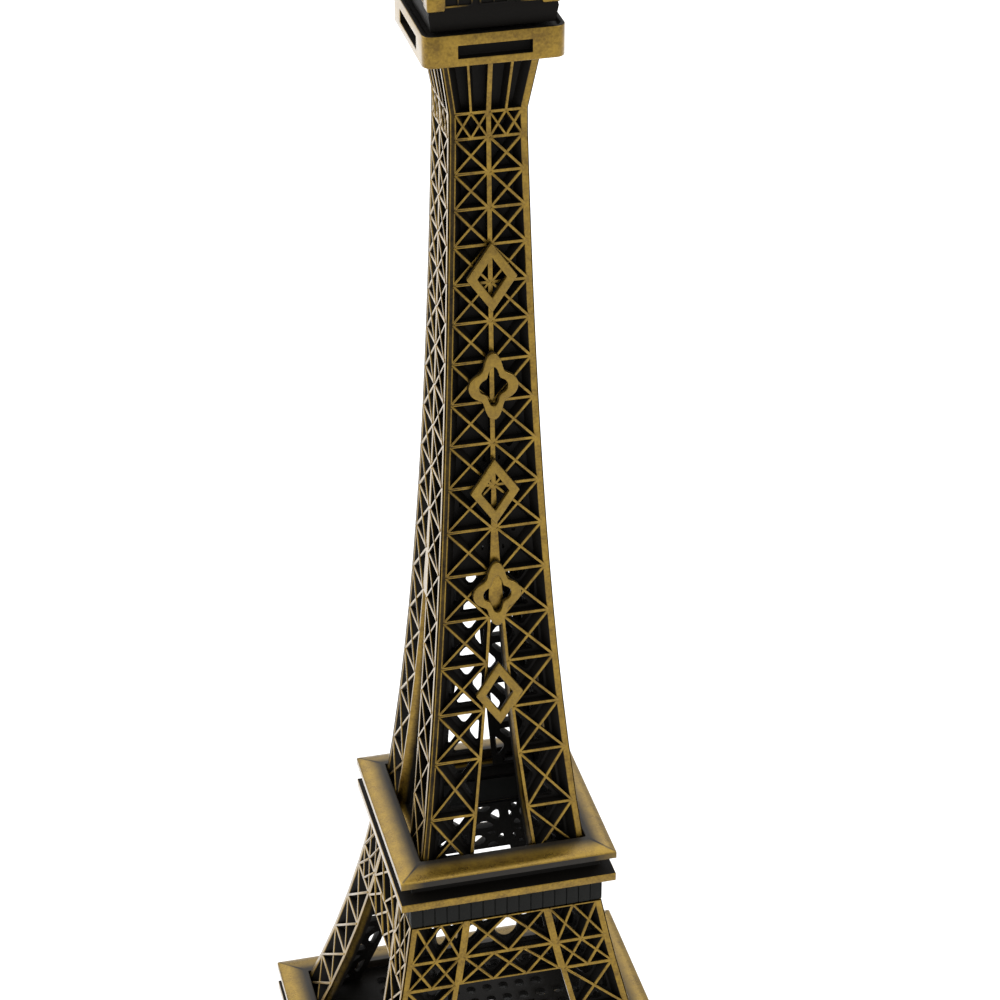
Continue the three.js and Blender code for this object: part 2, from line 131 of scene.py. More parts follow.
def smooth(low: float, high: float, value: float) -> float:
    """Returns 0 below low, 1 above high, and an S curve between them."""
    share = min(1.0, max(0.0, (value - low) / (high - low)))
    return share * share * (3.0 - 2.0 * share)


@dataclass(frozen=True)
class TowerOutline:
    """Half width of the tower's faces at each height, in millimetres."""

    leg_foot: float
    leg_top: float
    mid_foot: float
    mid_top: float
    shaft_foot: float
    shaft_top: float
    lower_top_half: float
    mid_top_half: float
    gap: float = 0.3
    lower_splay: float = 0.46
    lower_curve: float = 0.00327
    mid_splay: float = 0.1725
    mid_curve: float = 0.00153
    shaft_core: float = 4.86
    shaft_flare: float = 11.25
    shaft_fall_off: float = 85.0
    capital_height: float = 15.8
    capital_curve: float = 0.00052
    mid_leg_width: float = 11.3
    lower_leg_width: float = 11.0
    lower_inner_splay: float = 0.322
    arch_radius: float = 37.0
    arch_drop: float = 5.0
    rib_near: float = 0.2975
    rib_splay: float = 0.0325
    rib_curve: float = 0.00067
    rib_split: float = 76.0

    @classmethod
    def from_frame(cls) -> "TowerOutline":
        """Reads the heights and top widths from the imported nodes.

        Returns:
            The tower's outline.
        """
        lower = cad_box("lower_leg_front_left")
        middle = cad_box("mid_leg_front_left")
        shaft = cad_box("shaft_front")
        return cls(
            leg_foot=lower[0].z, leg_top=lower[1].z,
            mid_foot=middle[0].z, mid_top=middle[1].z,
            shaft_foot=shaft[0].z, shaft_top=shaft[1].z,
            lower_top_half=cad_box("first_deck_band")[1].x,
            mid_top_half=cad_box("second_deck_band")[1].x,
        )

    def lower_half(self, z: float) -> float:
        """Half width of the tower between its feet and the first deck."""
        down = self.leg_top - z
        return self.lower_top_half + self.lower_splay * down + self.lower_curve * down**2

    def mid_half(self, z: float) -> float:
        """Half width between the first and second decks."""
        down = self.mid_top - z
        return self.mid_top_half + self.mid_splay * down + self.mid_curve * down**2

    def shaft_half(self, z: float) -> float:
        """Gives the shaft's outline, which flares at the foot and under the third deck.

        Args:
            z: Height.

        Returns:
            Half width of the shaft.
        """
        flare = self.shaft_flare * math.exp(-(z - self.shaft_foot) / self.shaft_fall_off)
        capital = max(0.0, z - (self.shaft_top - self.capital_height))
        return self.shaft_core + flare + self.capital_curve * capital**3

    def mid_inner(self, z: float) -> float:
        """Inner edge of a leg between the decks."""
        return self.mid_half(z) - self.mid_leg_width

    @property
    def arch_centre(self) -> float:
        """Height of the arches' centre."""
        return self.leg_foot - self.gap - self.arch_drop

    def lower_inner(self, z: float) -> float:
        """Gives the inner edge of a lower leg, which gives way to the arch.

        Args:
            z: Height.

        Returns:
            Distance of the edge from the middle line.
        """
        top = self.lower_top_half - self.lower_leg_width
        line = top + self.lower_inner_splay * (self.leg_top - z)
        arch = math.sqrt(max(0.0, self.arch_radius**2 - (z - self.arch_centre) ** 2))
        return max(line, arch + self.gap)

    def rib(self, z: float) -> float:
        """Distance of the shaft's two ribs from the middle line."""
        below = max(0.0, self.shaft_foot + self.rib_split - z)
        return self.rib_near + self.rib_splay * below + self.rib_curve * below**2


OUTLINE = TowerOutline.from_frame()


# ---- mesh helpers ---------------------------------------------------------------------


def bevel(bm: BMesh, edges: Iterable[BMEdge], width: float, segments: int = 2,
          clamp: bool = False) -> list[BMFace]:
    """Rounds chosen edges.

    Args:
        bm: Mesh that holds them.
        edges: The edges.
        width: Width of the rounding.
        segments: Facets across it.
        clamp: Whether the width gives way where two roundings would meet.

    Returns:
        The faces of the rounding.
    """
    made = bmesh.ops.bevel(bm, geom=list(edges), offset=width, offset_type="OFFSET",
                           segments=segments, profile=0.5, affect="EDGES",
                           clamp_overlap=clamp, material=-1)
    return made["faces"]


def soften(bm: BMesh, width: float, segments: int = 2, sharp: float = 30.0,
           edges: Iterable[BMEdge] | None = None) -> None:
    """Rounds sharp edges.

    Args:
        bm: Mesh to change.
        width: Width of the rounding.
        segments: Facets across it.
        sharp: Smallest angle, in degrees, that counts as sharp.
        edges: Edges to look at, or none for all of them.
    """
    limit = math.radians(sharp)
    chosen = [e for e in (bm.edges if edges is None else edges)
              if e.is_valid and len(e.link_faces) == 2 and e.calc_face_angle(0.0) > limit]
    bevel(bm, chosen, width, segments, clamp=True)


def tidy(bm: BMesh) -> None:
    """Joins doubled corners and turns every face outwards."""
    bmesh.ops.remove_doubles(bm, verts=bm.verts, dist=TINY)
    bmesh.ops.recalc_face_normals(bm, faces=bm.faces)


def block(bm: BMesh, size: Sequence[float], centre: Sequence[float], edge: float = 0.0,
          turn: float = 0.0, segments: int = 2) -> list[BMVert]:
    """Adds a box with rounded edges.

    Args:
        bm: Mesh to add it to.
        size: Its three sides.
        centre: Its middle.
        edge: Width of the rounding, or 0 for sharp edges.
        turn: Turn about the tower's axis, in radians, once it is in place.
        segments: Facets across the rounding.

    Returns:
        Its corners.
    """
    place = Matrix.Rotation(turn, 4, "Z") @ Matrix.Translation(centre) @ Matrix.Diagonal((*size, 1))
    verts = bmesh.ops.create_cube(bm, size=1.0, matrix=place)["verts"]
    if not edge:
        return verts
    rounding = bevel(bm, {e for v in verts for e in v.link_edges}, edge, segments)
    return list({v for f in rounding for v in f.verts})


def take_in(bm: BMesh, part: BMesh, matrix: Matrix | None = None) -> None:
    """Moves another mesh's shapes into a mesh.

    Args:
        bm: Mesh to add them to.
        part: The other mesh; it is used up.
        matrix: Where to put them, or none to leave them in place.
    """
    if matrix is not None:
        bmesh.ops.transform(part, matrix=matrix, verts=part.verts)
    carrier = bpy.data.meshes.new("part")
    part.to_mesh(carrier)
    part.free()
    bm.from_mesh(carrier)
    bpy.data.meshes.remove(carrier)


def square_turn(profile: Sequence[tuple[float, float]]) -> BMesh:
    """Turns a closed profile of (half width, height) corners into a square ring or solid."""
    return turned(profile, 4, math.sqrt(2.0), math.pi / 4.0)


def turned(profile: Sequence[tuple[float, float]], steps: int, stretch: float = 1.0,
           start: float = 0.0) -> BMesh:
    """Spins a closed profile about the tower's axis.

    Args:
        profile: Corners as (radius, height).
        steps: Facets round the axis.
        stretch: Factor on each radius.
        start: Angle of the first section.

    Returns:
        The closed mesh.
    """
    bm = bmesh.new()
    across = Vector((math.cos(start), math.sin(start), 0.0)) * stretch
    verts = [bm.verts.new(across * radius + Z_AXIS * z) for radius, z in profile]
    edges = [bm.edges.new(pair) for pair in zip(verts, verts[1:] + verts[:1])
             if (pair[0].co.xy.length > TINY or pair[1].co.xy.length > TINY)]
    bmesh.ops.spin(bm, geom=verts + edges, cent=(0, 0, 0), axis=Z_AXIS,
                   angle=2.0 * math.pi, steps=steps, use_merge=True)
    tidy(bm)
    return bm


def rings_of(edges: Iterable[BMEdge]) -> list[list[BMEdge]]:
    """Groups edges that hang together.

    Args:
        edges: Edges of any number of rings.

    Returns:
        The edges of each ring.
    """
    left = set(edges)
    rings: list[list[BMEdge]] = []
    while left:
        ring = [left.pop()]
        for edge in ring:
            near = {e for v in edge.verts for e in v.link_edges} & left
            left -= near
            ring.extend(near)
        rings.append(ring)
    return rings


def ring_key(edges: Iterable[BMEdge]) -> tuple[float, float, float]:
    """Tells rings apart.

    Args:
        edges: Edges of one ring.

    Returns:
        The ring's middle as (across, height), and its length.
    """
    points = [v.co for e in edges for v in e.verts]
    total = sum(points, Vector((0.0, 0.0, 0.0))) / len(points)
    return round(total.x, 2), round(total.z, 2), round(sum(e.calc_length() for e in edges), 2)


def field_key(face: BMFace) -> tuple[float, float]:
    """Middle of a field as (across, height)."""
    centre = face.calc_center_median()
    return round(centre.x, 2), round(centre.z, 2)


def inner_radius(face: BMFace) -> float:
    """Radius of a circle that roughly fits in a face."""
    return 2.0 * face.calc_area() / face.calc_perimeter()


def square_reach(co: Vector) -> float:
    """Returns how far a place is from the tower's axis, measured square."""
    return max(abs(co.x), abs(co.y))


def rim_rub(half: float, inner: float, outer: float, low: float = 0.0,
            high: float = 1.0) -> Rub:
    """Makes the wear of a square piece that is rubbed towards its outer faces.

    Args:
        half: Half width of the piece.
        inner: Depth under its faces at which the wear starts.
        outer: Depth at which it is full.
        low: Wear inside.
        high: Wear at the faces.

    Returns:
        The wear at a place.
    """
    return lambda co: blend(low, high, smooth(half - inner, half - outer, square_reach(co)))


def mark_rub(bm: BMesh, rub: Rub) -> None:
    """Stores how far each corner is rubbed bright.

    Args:
        bm: Mesh to mark.
        rub: Gives the wear at a place, from 0 for patina to 1 for plating.
    """
    layer = bm.verts.layers.float.get(RUB) or bm.verts.layers.float.new(RUB)
    for vert in bm.verts:
        vert[layer] = rub(vert.co)


# ---- cast plates ----------------------------------------------------------------------


@dataclass(frozen=True)
class Bay:
    """One bay of a cast plate.

    Attributes:
        cell: What it holds.
        count: Into how many equal columns it is divided.
        margin: Web left round each opening.
        rounding: Rounding of the openings' corners.
    """

    cell: Cell
    count: int = 1
    margin: float = 0.5
    rounding: float = 0.9


def divided(count: int) -> Bay:
    """Returns a bay of several small crosses side by side."""
    return Bay(Cell.CROSS, count, 0.3, 2.0)


@dataclass
class ReliefPlate:
    """A cast plate drawn flat, as (across, height), with its front at depth 0.

    Attributes:
        across: Number of columns.
        up: Number of rows.
        corner: Gives the (across, height) place of a grid corner.
        bays: What each (column, row) holds; the others stay plain.
        depth: Thickness of the casting.
        bar: Width of its bars.
        sink: Depth of the bays.
        draft: Taper of the bays' walls.
        shine: Depth to which the walls are rubbed.
        edge: Rounding along the bars.
        ridge: Width of the falling diagonals, which stand a little proud.
        ridge_depth: Thickness of those bars.
        ridge_sunk: Depth of their middle.
        whole_share: Share of the fields in a flecked bay that have no flaw.
        seed: Start of the casting flaws' draw.
    """

    across: int
    up: int
    corner: Corner
    bays: dict[tuple[int, int], Bay]
    depth: float = 2.4
    bar: float = 0.44
    sink: float = 1.5
    draft: float = 0.12
    shine: float = 0.2
    edge: float = 0.07
    ridge: float = 0.5
    ridge_depth: float = 0.4
    ridge_sunk: float = 0.07
    whole_share: float = 0.45
    seed: int = 1
    _draw: random.Random = field(init=False, repr=False)

    def build(self) -> BMesh:
        """Builds the flat plate.

        Returns:
            A closed mesh, with its wear marked.
        """
        self._draw = random.Random(self.seed)
        bm = bmesh.new()
        front = self._sheet(bm, 0.0)
        back = self._sheet(bm, self.depth)
        self._open_and_close(bm, front, back)
        tops: list[BMEdge] = []
        for place, bay in self.bays.items():
            if bay.cell is Cell.OPEN:
                continue
            fields = self._fields(bm, front[place], bay, place, 0.0)
            behind = {}
            if bay.cell in (Cell.CROSS, Cell.FLECKED_CROSS, Cell.PIERCED):
                parts = self._fields(bm, back[place], bay, place, self.depth)
                behind = {field_key(f): f for f in parts}
            pairs = [(f, behind.get(field_key(f))) for f in fields]
            if bay.cell is not Cell.PIERCED:
                tops += self._sink(bm, fields)
            self._pierce(bm, bay, [pair for pair in pairs if pair[1]])
        soften(bm, self.edge, edges=set(tops) | self._outer_edges(bm))
        for place, bay in self.bays.items():
            if bay.cell not in (Cell.COFFER, Cell.PIERCED, Cell.OPEN):
                self._falling_bars(bm, place, bay.count)
        mark_rub(bm, lambda co: 1.0 - smooth(RUB_TOP, self.shine * 0.9, co.y))
        return bm

    def _sheet(self, bm: BMesh, level: float) -> dict[tuple[int, int], BMFace]:
        """Lays one grid of bays.

        Args:
            bm: Mesh to add it to.
            level: Its depth.

        Returns:
            Its faces by (column, row).
        """
        made = bmesh.ops.create_grid(bm, x_segments=self.across, y_segments=self.up, size=0.5)
        faces = {}
        for face in {f for v in made["verts"] for f in v.link_faces}:
            centre = face.calc_center_median()
            place = (int((centre.x + 0.5) * self.across), int((centre.y + 0.5) * self.up))
            faces[place] = face
        for vert in made["verts"]:
            column = round((vert.co.x + 0.5) * self.across)
            row = round((vert.co.y + 0.5) * self.up)
            u, z = self.corner(column, row)
            vert.co = (u, level, z)
        if level > 0.0:
            bmesh.ops.reverse_faces(bm, faces=list(faces.values()))
        return faces

    def _open_and_close(self, bm: BMesh, front: dict, back: dict) -> None:
        """Takes out the open bays and joins the front to the back round every edge.

        Args:
            bm: Mesh that holds both grids.
            front: Faces of the front by (column, row).
            back: Faces of the back.
        """
        opened = [place for place, bay in self.bays.items() if bay.cell is Cell.OPEN]
        gone = [sheet[place] for sheet in (front, back) for place in opened]
        bmesh.ops.delete(bm, geom=gone, context="FACES")
        kept = [[f for f in sheet.values() if f.is_valid] for sheet in (front, back)]
        sides = [rings_of(e for e in {e for f in faces for e in f.edges} if e.is_boundary)
                 for faces in kept]
        behind = {ring_key(ring): ring for ring in sides[1]}
        for ring in sides[0]:
            bmesh.ops.bridge_loops(bm, edges=ring + behind[ring_key(ring)])

    def _fields(self, bm: BMesh, face: BMFace, bay: Bay, place: tuple[int, int],
                level: float) -> list[BMFace]:
        """Divides a bay into the fields between its bars.

        Args:
            bm: Mesh that holds it.
            face: The bay's face.
            bay: What it holds.
            place: Its column and row.
            level: Depth of the face.

        Returns:
            The fields' faces.
        """
        column, row = place
        low = (self.corner(column, row), self.corner(column + 1, row))
        high = (self.corner(column, row + 1), self.corner(column + 1, row + 1))
        parts, cuts = [face], []
        for i in range(1, bay.count):
            share = i / bay.count
            foot = Vector((blend(low[0][0], low[1][0], share), level, low[0][1]))
            head = Vector((blend(high[0][0], high[1][0], share), level, high[0][1]))
            run = head - foot
            geom = parts + [e for f in parts for e in f.edges] + [v for f in parts for v in f.verts]
            made = bmesh.ops.bisect_plane(bm, geom=list(set(geom)), dist=TINY, plane_co=foot,
                                          plane_no=Vector((run.z, 0.0, -run.x)))
            parts = list({g for g in made["geom"] if isinstance(g, BMFace)})
            cuts += [g for g in made["geom_cut"] if isinstance(g, BMEdge)]
        if bay.cell in (Cell.COFFER, Cell.PIERCED):
            return parts
        hubs = []
        for part in parts:
            corners = [v.co.copy() for v in part.verts]
            hub = bmesh.ops.poke(bm, faces=[part])["verts"][0]
            if len(corners) == 4:
                hub.co = intersect_line_line(corners[0], corners[2], corners[1], corners[3])[0]
            hubs.append(hub)
        if cuts:
            bmesh.ops.dissolve_edges(bm, edges=cuts, use_verts=False)
        return list(dict.fromkeys(f for hub in hubs for f in hub.link_faces))

    def _sink(self, bm: BMesh, fields: list[BMFace]) -> list[BMEdge]:
        """Leaves bars round the fields and sinks the fields.

        Args:
            bm: Mesh that holds them.
            fields: Their faces.

        Returns:
            The edges along the bars.
        """
        bmesh.ops.inset_individual(bm, faces=fields, thickness=self.bar / 2,
                                   use_even_offset=True)
        walls = bmesh.ops.inset_individual(bm, faces=fields, thickness=self.draft * 0.3,
                                           depth=-self.shine, use_even_offset=True)["faces"]
        bmesh.ops.inset_individual(bm, faces=fields, thickness=self.draft * 0.7,
                                   depth=self.shine - self.sink, use_even_offset=True)
        return [e for f in walls for e in f.edges
                if all(v.co.y < self.shine / 2 for v in e.verts)]

    def _pierce(self, bm: BMesh, bay: Bay, pairs: list[tuple[BMFace, BMFace]]) -> None:
        """Cuts each pair of fields through the web, and rounds the openings' corners.

        Args:
            bm: Mesh that holds them.
            bay: The bay that they belong to.
            pairs: Each field's face on the front with the one behind it.
        """
        inset = 0.0 if bay.cell is Cell.PIERCED else self.bar / 2 + self.draft
        for front, back in pairs:
            margin = bay.margin
            if bay.cell is Cell.FLECKED_CROSS:
                if self._draw.random() < self.whole_share:
                    continue
                margin = inner_radius(front) - self._draw.uniform(0.2, 0.55)
            margin = min(margin, inner_radius(front) * 0.8)
            for face, width in ((front, margin), (back, inset + margin)):
                bmesh.ops.inset_individual(bm, faces=[face], thickness=width,
                                           use_even_offset=True)
            if bay.cell is Cell.FLECKED_CROSS:
                shift = Vector((self._draw.uniform(-0.3, 0.3), 0.0, self._draw.uniform(-0.4, 0.4)))
                bmesh.ops.translate(bm, verts=list({*front.verts, *back.verts}), vec=shift)
            shortest = min(e.calc_length() for e in front.edges)
            rims = list(front.edges) + list(back.edges)
            bmesh.ops.delete(bm, geom=[front, back], context="FACES_ONLY")
            walls = bmesh.ops.bridge_loops(bm, edges=rims)["faces"]
            upright = {e for f in walls for e in f.edges} - set(rims)
            bevel(bm, upright, min(bay.rounding, shortest * 0.46), 4)

    def _falling_bars(self, bm: BMesh, place: tuple[int, int], count: int) -> None:
        """Lays proud bars over a bay's falling diagonals.

        Args:
            bm: Mesh to add them to.
            place: The bay's column and row.
            count: Columns into which the bay is divided.
        """
        column, row = place
        foot, head = (
            [(blend(self.corner(column, level)[0], self.corner(column + 1, level)[0], i / count),
              self.corner(column, level)[1]) for i in range(count + 1)]
            for level in (row, row + 1))
        for high, low in zip(head[:-1], foot[1:]):
            run = Vector((low[0] - high[0], 0.0, low[1] - high[1]))
            middle = Vector(((low[0] + high[0]) / 2, self.ridge_sunk, (low[1] + high[1]) / 2))
            turn = Matrix.Rotation(-math.atan2(run.z, run.x), 4, "Y")
            size = (run.length, self.ridge_depth, self.ridge / math.sqrt(count))
            bar = bmesh.new()
            block(bar, size, (0, 0, 0), 0.1)
            take_in(bm, bar, Matrix.Translation(middle) @ turn)

    def _outer_edges(self, bm: BMesh) -> set[BMEdge]:
        """Finds the edges round the outside of the front.

        Args:
            bm: Mesh of the plate.

        Returns:
            The edges.
        """
        return {e for e in bm.edges
                if all(v.co.y < TINY for v in e.verts)
                and any(abs(f.normal.y) < 0.5 and f.calc_center_median().y > self.depth * 0.3
                        for f in e.link_faces)}


def bend_to_face(bm: BMesh, half: Line, pivot: Line = lambda z: 0.0) -> None:
    """Bends a flat plate onto the tower's front face, with its edges mitred.

    Args:
        bm: The plate, drawn as (across, depth, height).
        half: Half width of the tower at a height.
        pivot: Line from which the plate's back is drawn in.
    """
    seam = OUTLINE.gap / math.sqrt(2.0)
    for vert in bm.verts:
        u, inward, z = vert.co
        reach = half(z)
        share = max(0.0, (abs(u) - pivot(z)) / (reach - pivot(z)))
        drawn = math.copysign(share * (seam + max(0.0, inward)), u)
        vert.co = (u - drawn, inward - reach, z)


def mirrored_plate(bm: BMesh) -> BMesh:
    """Mirrors a plate to the other side of the face.

    Args:
        bm: The plate, which stays as it is.

    Returns:
        The mirrored copy.
    """
    other = bm.copy()
    bmesh.ops.scale(other, vec=(-1.0, 1.0, 1.0), verts=other.verts)
    bmesh.ops.reverse_faces(other, faces=other.faces)
    return other


# ---- finishes -------------------------------------------------------------------------


def add_node(tree: bpy.types.NodeTree, kind: str, **values: object) -> bpy.types.Node:
    """Adds a node and sets its properties.

    Args:
        tree: Tree to add it to.
        kind: Its type.
        **values: Its properties.

    Returns:
        The node.
    """
    node = tree.nodes.new(kind)
    for name, value in values.items():
        setattr(node, name, value)
    return node


def calculate(tree: bpy.types.NodeTree, operation: str, first: object, second: object,
              clamp: bool = False) -> bpy.types.NodeSocket:
    """Adds a Math node.

    Args:
        tree: Tree to add it to.
        operation: Its operation.
        first: A socket or a number.
        second: A socket or a number.
        clamp: Whether the result is kept between 0 and 1.

    Returns:
        Its output.
    """
    node = add_node(tree, "ShaderNodeMath", operation=operation, use_clamp=clamp)
    for socket, value in zip(node.inputs, (first, second)):
        if isinstance(value, bpy.types.NodeSocket):
            tree.links.new(value, socket)
        else:
            socket.default_value = value
    return node.outputs[0]


def pattern(tree: bpy.types.NodeTree, place: bpy.types.NodeSocket, scale: float,
            detail: float = 3.0, stretch: Sequence[float] = (1.0, 1.0, 1.0),
            turn: Sequence[float] = (0.0, 0.0, 0.0)) -> bpy.types.NodeSocket:
    """Adds a noise pattern and returns its value.

    Args:
        tree: Tree to add it to.
        place: Coordinates, in metres.
        scale: Patches to a metre.
        detail: Octaves of finer pattern.
        stretch: Factor on the pattern's fineness along each axis.
        turn: Turn of the pattern, in radians.

    Returns:
        The noise value, from 0 to 1.
    """
    mapping = add_node(tree, "ShaderNodeMapping")
    mapping.inputs["Scale"].default_value = stretch
    mapping.inputs["Rotation"].default_value = turn
    tree.links.new(place, mapping.inputs["Vector"])
    node = add_node(tree, "ShaderNodeTexNoise")
    node.inputs["Scale"].default_value = scale
    node.inputs["Detail"].default_value = detail
    tree.links.new(mapping.outputs["Vector"], node.inputs["Vector"])
    return node.outputs["Fac"]


class SharedEffects:
    """Shader node groups that several finishes use, each built once."""

    _groups: dict[str, bpy.types.NodeTree] = {}

    @classmethod
    def group(cls, name: str) -> bpy.types.NodeTree:
        """Gives a group, building it the first time.

        Args:
            name: Name of the group, which is also that of its builder here.

        Returns:
            The group's tree.
        """
        if name not in cls._groups:
            tree = bpy.data.node_groups.new(name, "ShaderNodeTree")
            cls._groups[name] = getattr(cls, f"_{name}")(tree)
        return cls._groups[name]

    @staticmethod
    def _sockets(tree: bpy.types.NodeTree, inputs: dict[str, float],
                 outputs: Sequence[str]) -> tuple[bpy.types.Node, bpy.types.Node]:
        """Gives a group its inputs and outputs, all of them floats.

        Args:
            tree: The group's tree.
            inputs: Name and first value of each input.
            outputs: Name of each output.

        Returns:
            The group's input and output nodes.
        """
        for name, value in inputs.items():
            socket = tree.interface.new_socket(name, in_out="INPUT", socket_type="NodeSocketFloat")
            socket.default_value = value
        for name in outputs:
            tree.interface.new_socket(name, in_out="OUTPUT", socket_type="NodeSocketFloat")
        return add_node(tree, "NodeGroupInput"), add_node(tree, "NodeGroupOutput")

    @classmethod
    def _rubbed_edge(cls, tree: bpy.types.NodeTree) -> bpy.types.NodeTree:
        """Builds the mask of plating that shows: the rub mark, broken up by noise.

        Args:
            tree: Empty tree of the group.

        Returns:
            The same tree.
        """
        start, end = cls._sockets(tree, {"Breakup": 0.3, "Level": 0.5, "Softness": 0.3}, ["Mask"])
        mark = add_node(tree, "ShaderNodeAttribute", attribute_name=RUB, attribute_type="GEOMETRY")
        place = add_node(tree, "ShaderNodeTexCoord").outputs["Object"]
        coarse = pattern(tree, place, 260.0, 4.0)
        fine = pattern(tree, place, 2600.0, 3.0)
        grain = calculate(tree, "ADD", calculate(tree, "MULTIPLY", coarse, 0.6),
                          calculate(tree, "MULTIPLY", fine, 0.4))
        swing = calculate(tree, "MULTIPLY", calculate(tree, "SUBTRACT", grain, 0.5),
                          start.outputs["Breakup"])
        total = calculate(tree, "SUBTRACT", calculate(tree, "ADD", mark.outputs["Fac"], swing),
                          start.outputs["Level"])
        share = calculate(tree, "DIVIDE", total, start.outputs["Softness"])
        mask = calculate(tree, "ADD", share, 0.5, clamp=True)
        tree.links.new(mask, end.inputs["Mask"])
        return tree

    @classmethod
    def _cast_grain(cls, tree: bpy.types.NodeTree) -> bpy.types.NodeTree:
        """Builds the fine cast texture: a height, a mottle and hairline scratches.

        Args:
            tree: Empty tree of the group.

        Returns:
            The same tree.
        """
        start, end = cls._sockets(tree, {"Pitting": 0.5, "Scratching": 0.5},
                                  ["Height", "Mottle", "Scratch"])
        place = add_node(tree, "ShaderNodeTexCoord").outputs["Object"]
        pits = pattern(tree, place, 3800.0, 2.0)
        clouds = calculate(tree, "MULTIPLY", pattern(tree, place, 380.0, 5.0), 0.55)
        specks = calculate(tree, "MULTIPLY", pattern(tree, place, 2200.0, 3.0), 0.45)
        mottle = calculate(tree, "ADD", clouds, specks)
        hair = [pattern(tree, place, 700.0, 2.0, stretch, turn) for stretch, turn in (
            ((0.4, 0.4, 9.0), (0.0, 0.12, 0.0)), ((8.0, 8.0, 0.35), (0.2, 0.5, 0.1)))]
        lines = calculate(tree, "MAXIMUM", hair[0], hair[1])
        scratch = calculate(tree, "MULTIPLY", calculate(tree, "SUBTRACT", lines, 0.62), 6.0, True)
        height = calculate(tree, "ADD",
                           calculate(tree, "MULTIPLY", pits, start.outputs["Pitting"]),
                           calculate(tree, "MULTIPLY", scratch, start.outputs["Scratching"]))
        tree.links.new(height, end.inputs["Height"])
        tree.links.new(mottle, end.inputs["Mottle"])
        tree.links.new(scratch, end.inputs["Scratch"])
        return tree


def use_group(tree: bpy.types.NodeTree, name: str, **values: float) -> bpy.types.Node:
    """Places a shared group in a material.

    Args:
        tree: Tree of the material.
        name: Name of the group.
        **values: The material's own value for each input.

    Returns:
        The group's node.
    """
    node = add_node(tree, "ShaderNodeGroup", node_tree=SharedEffects.group(name))
    for key, value in values.items():
        node.inputs[key].default_value = value
    return node


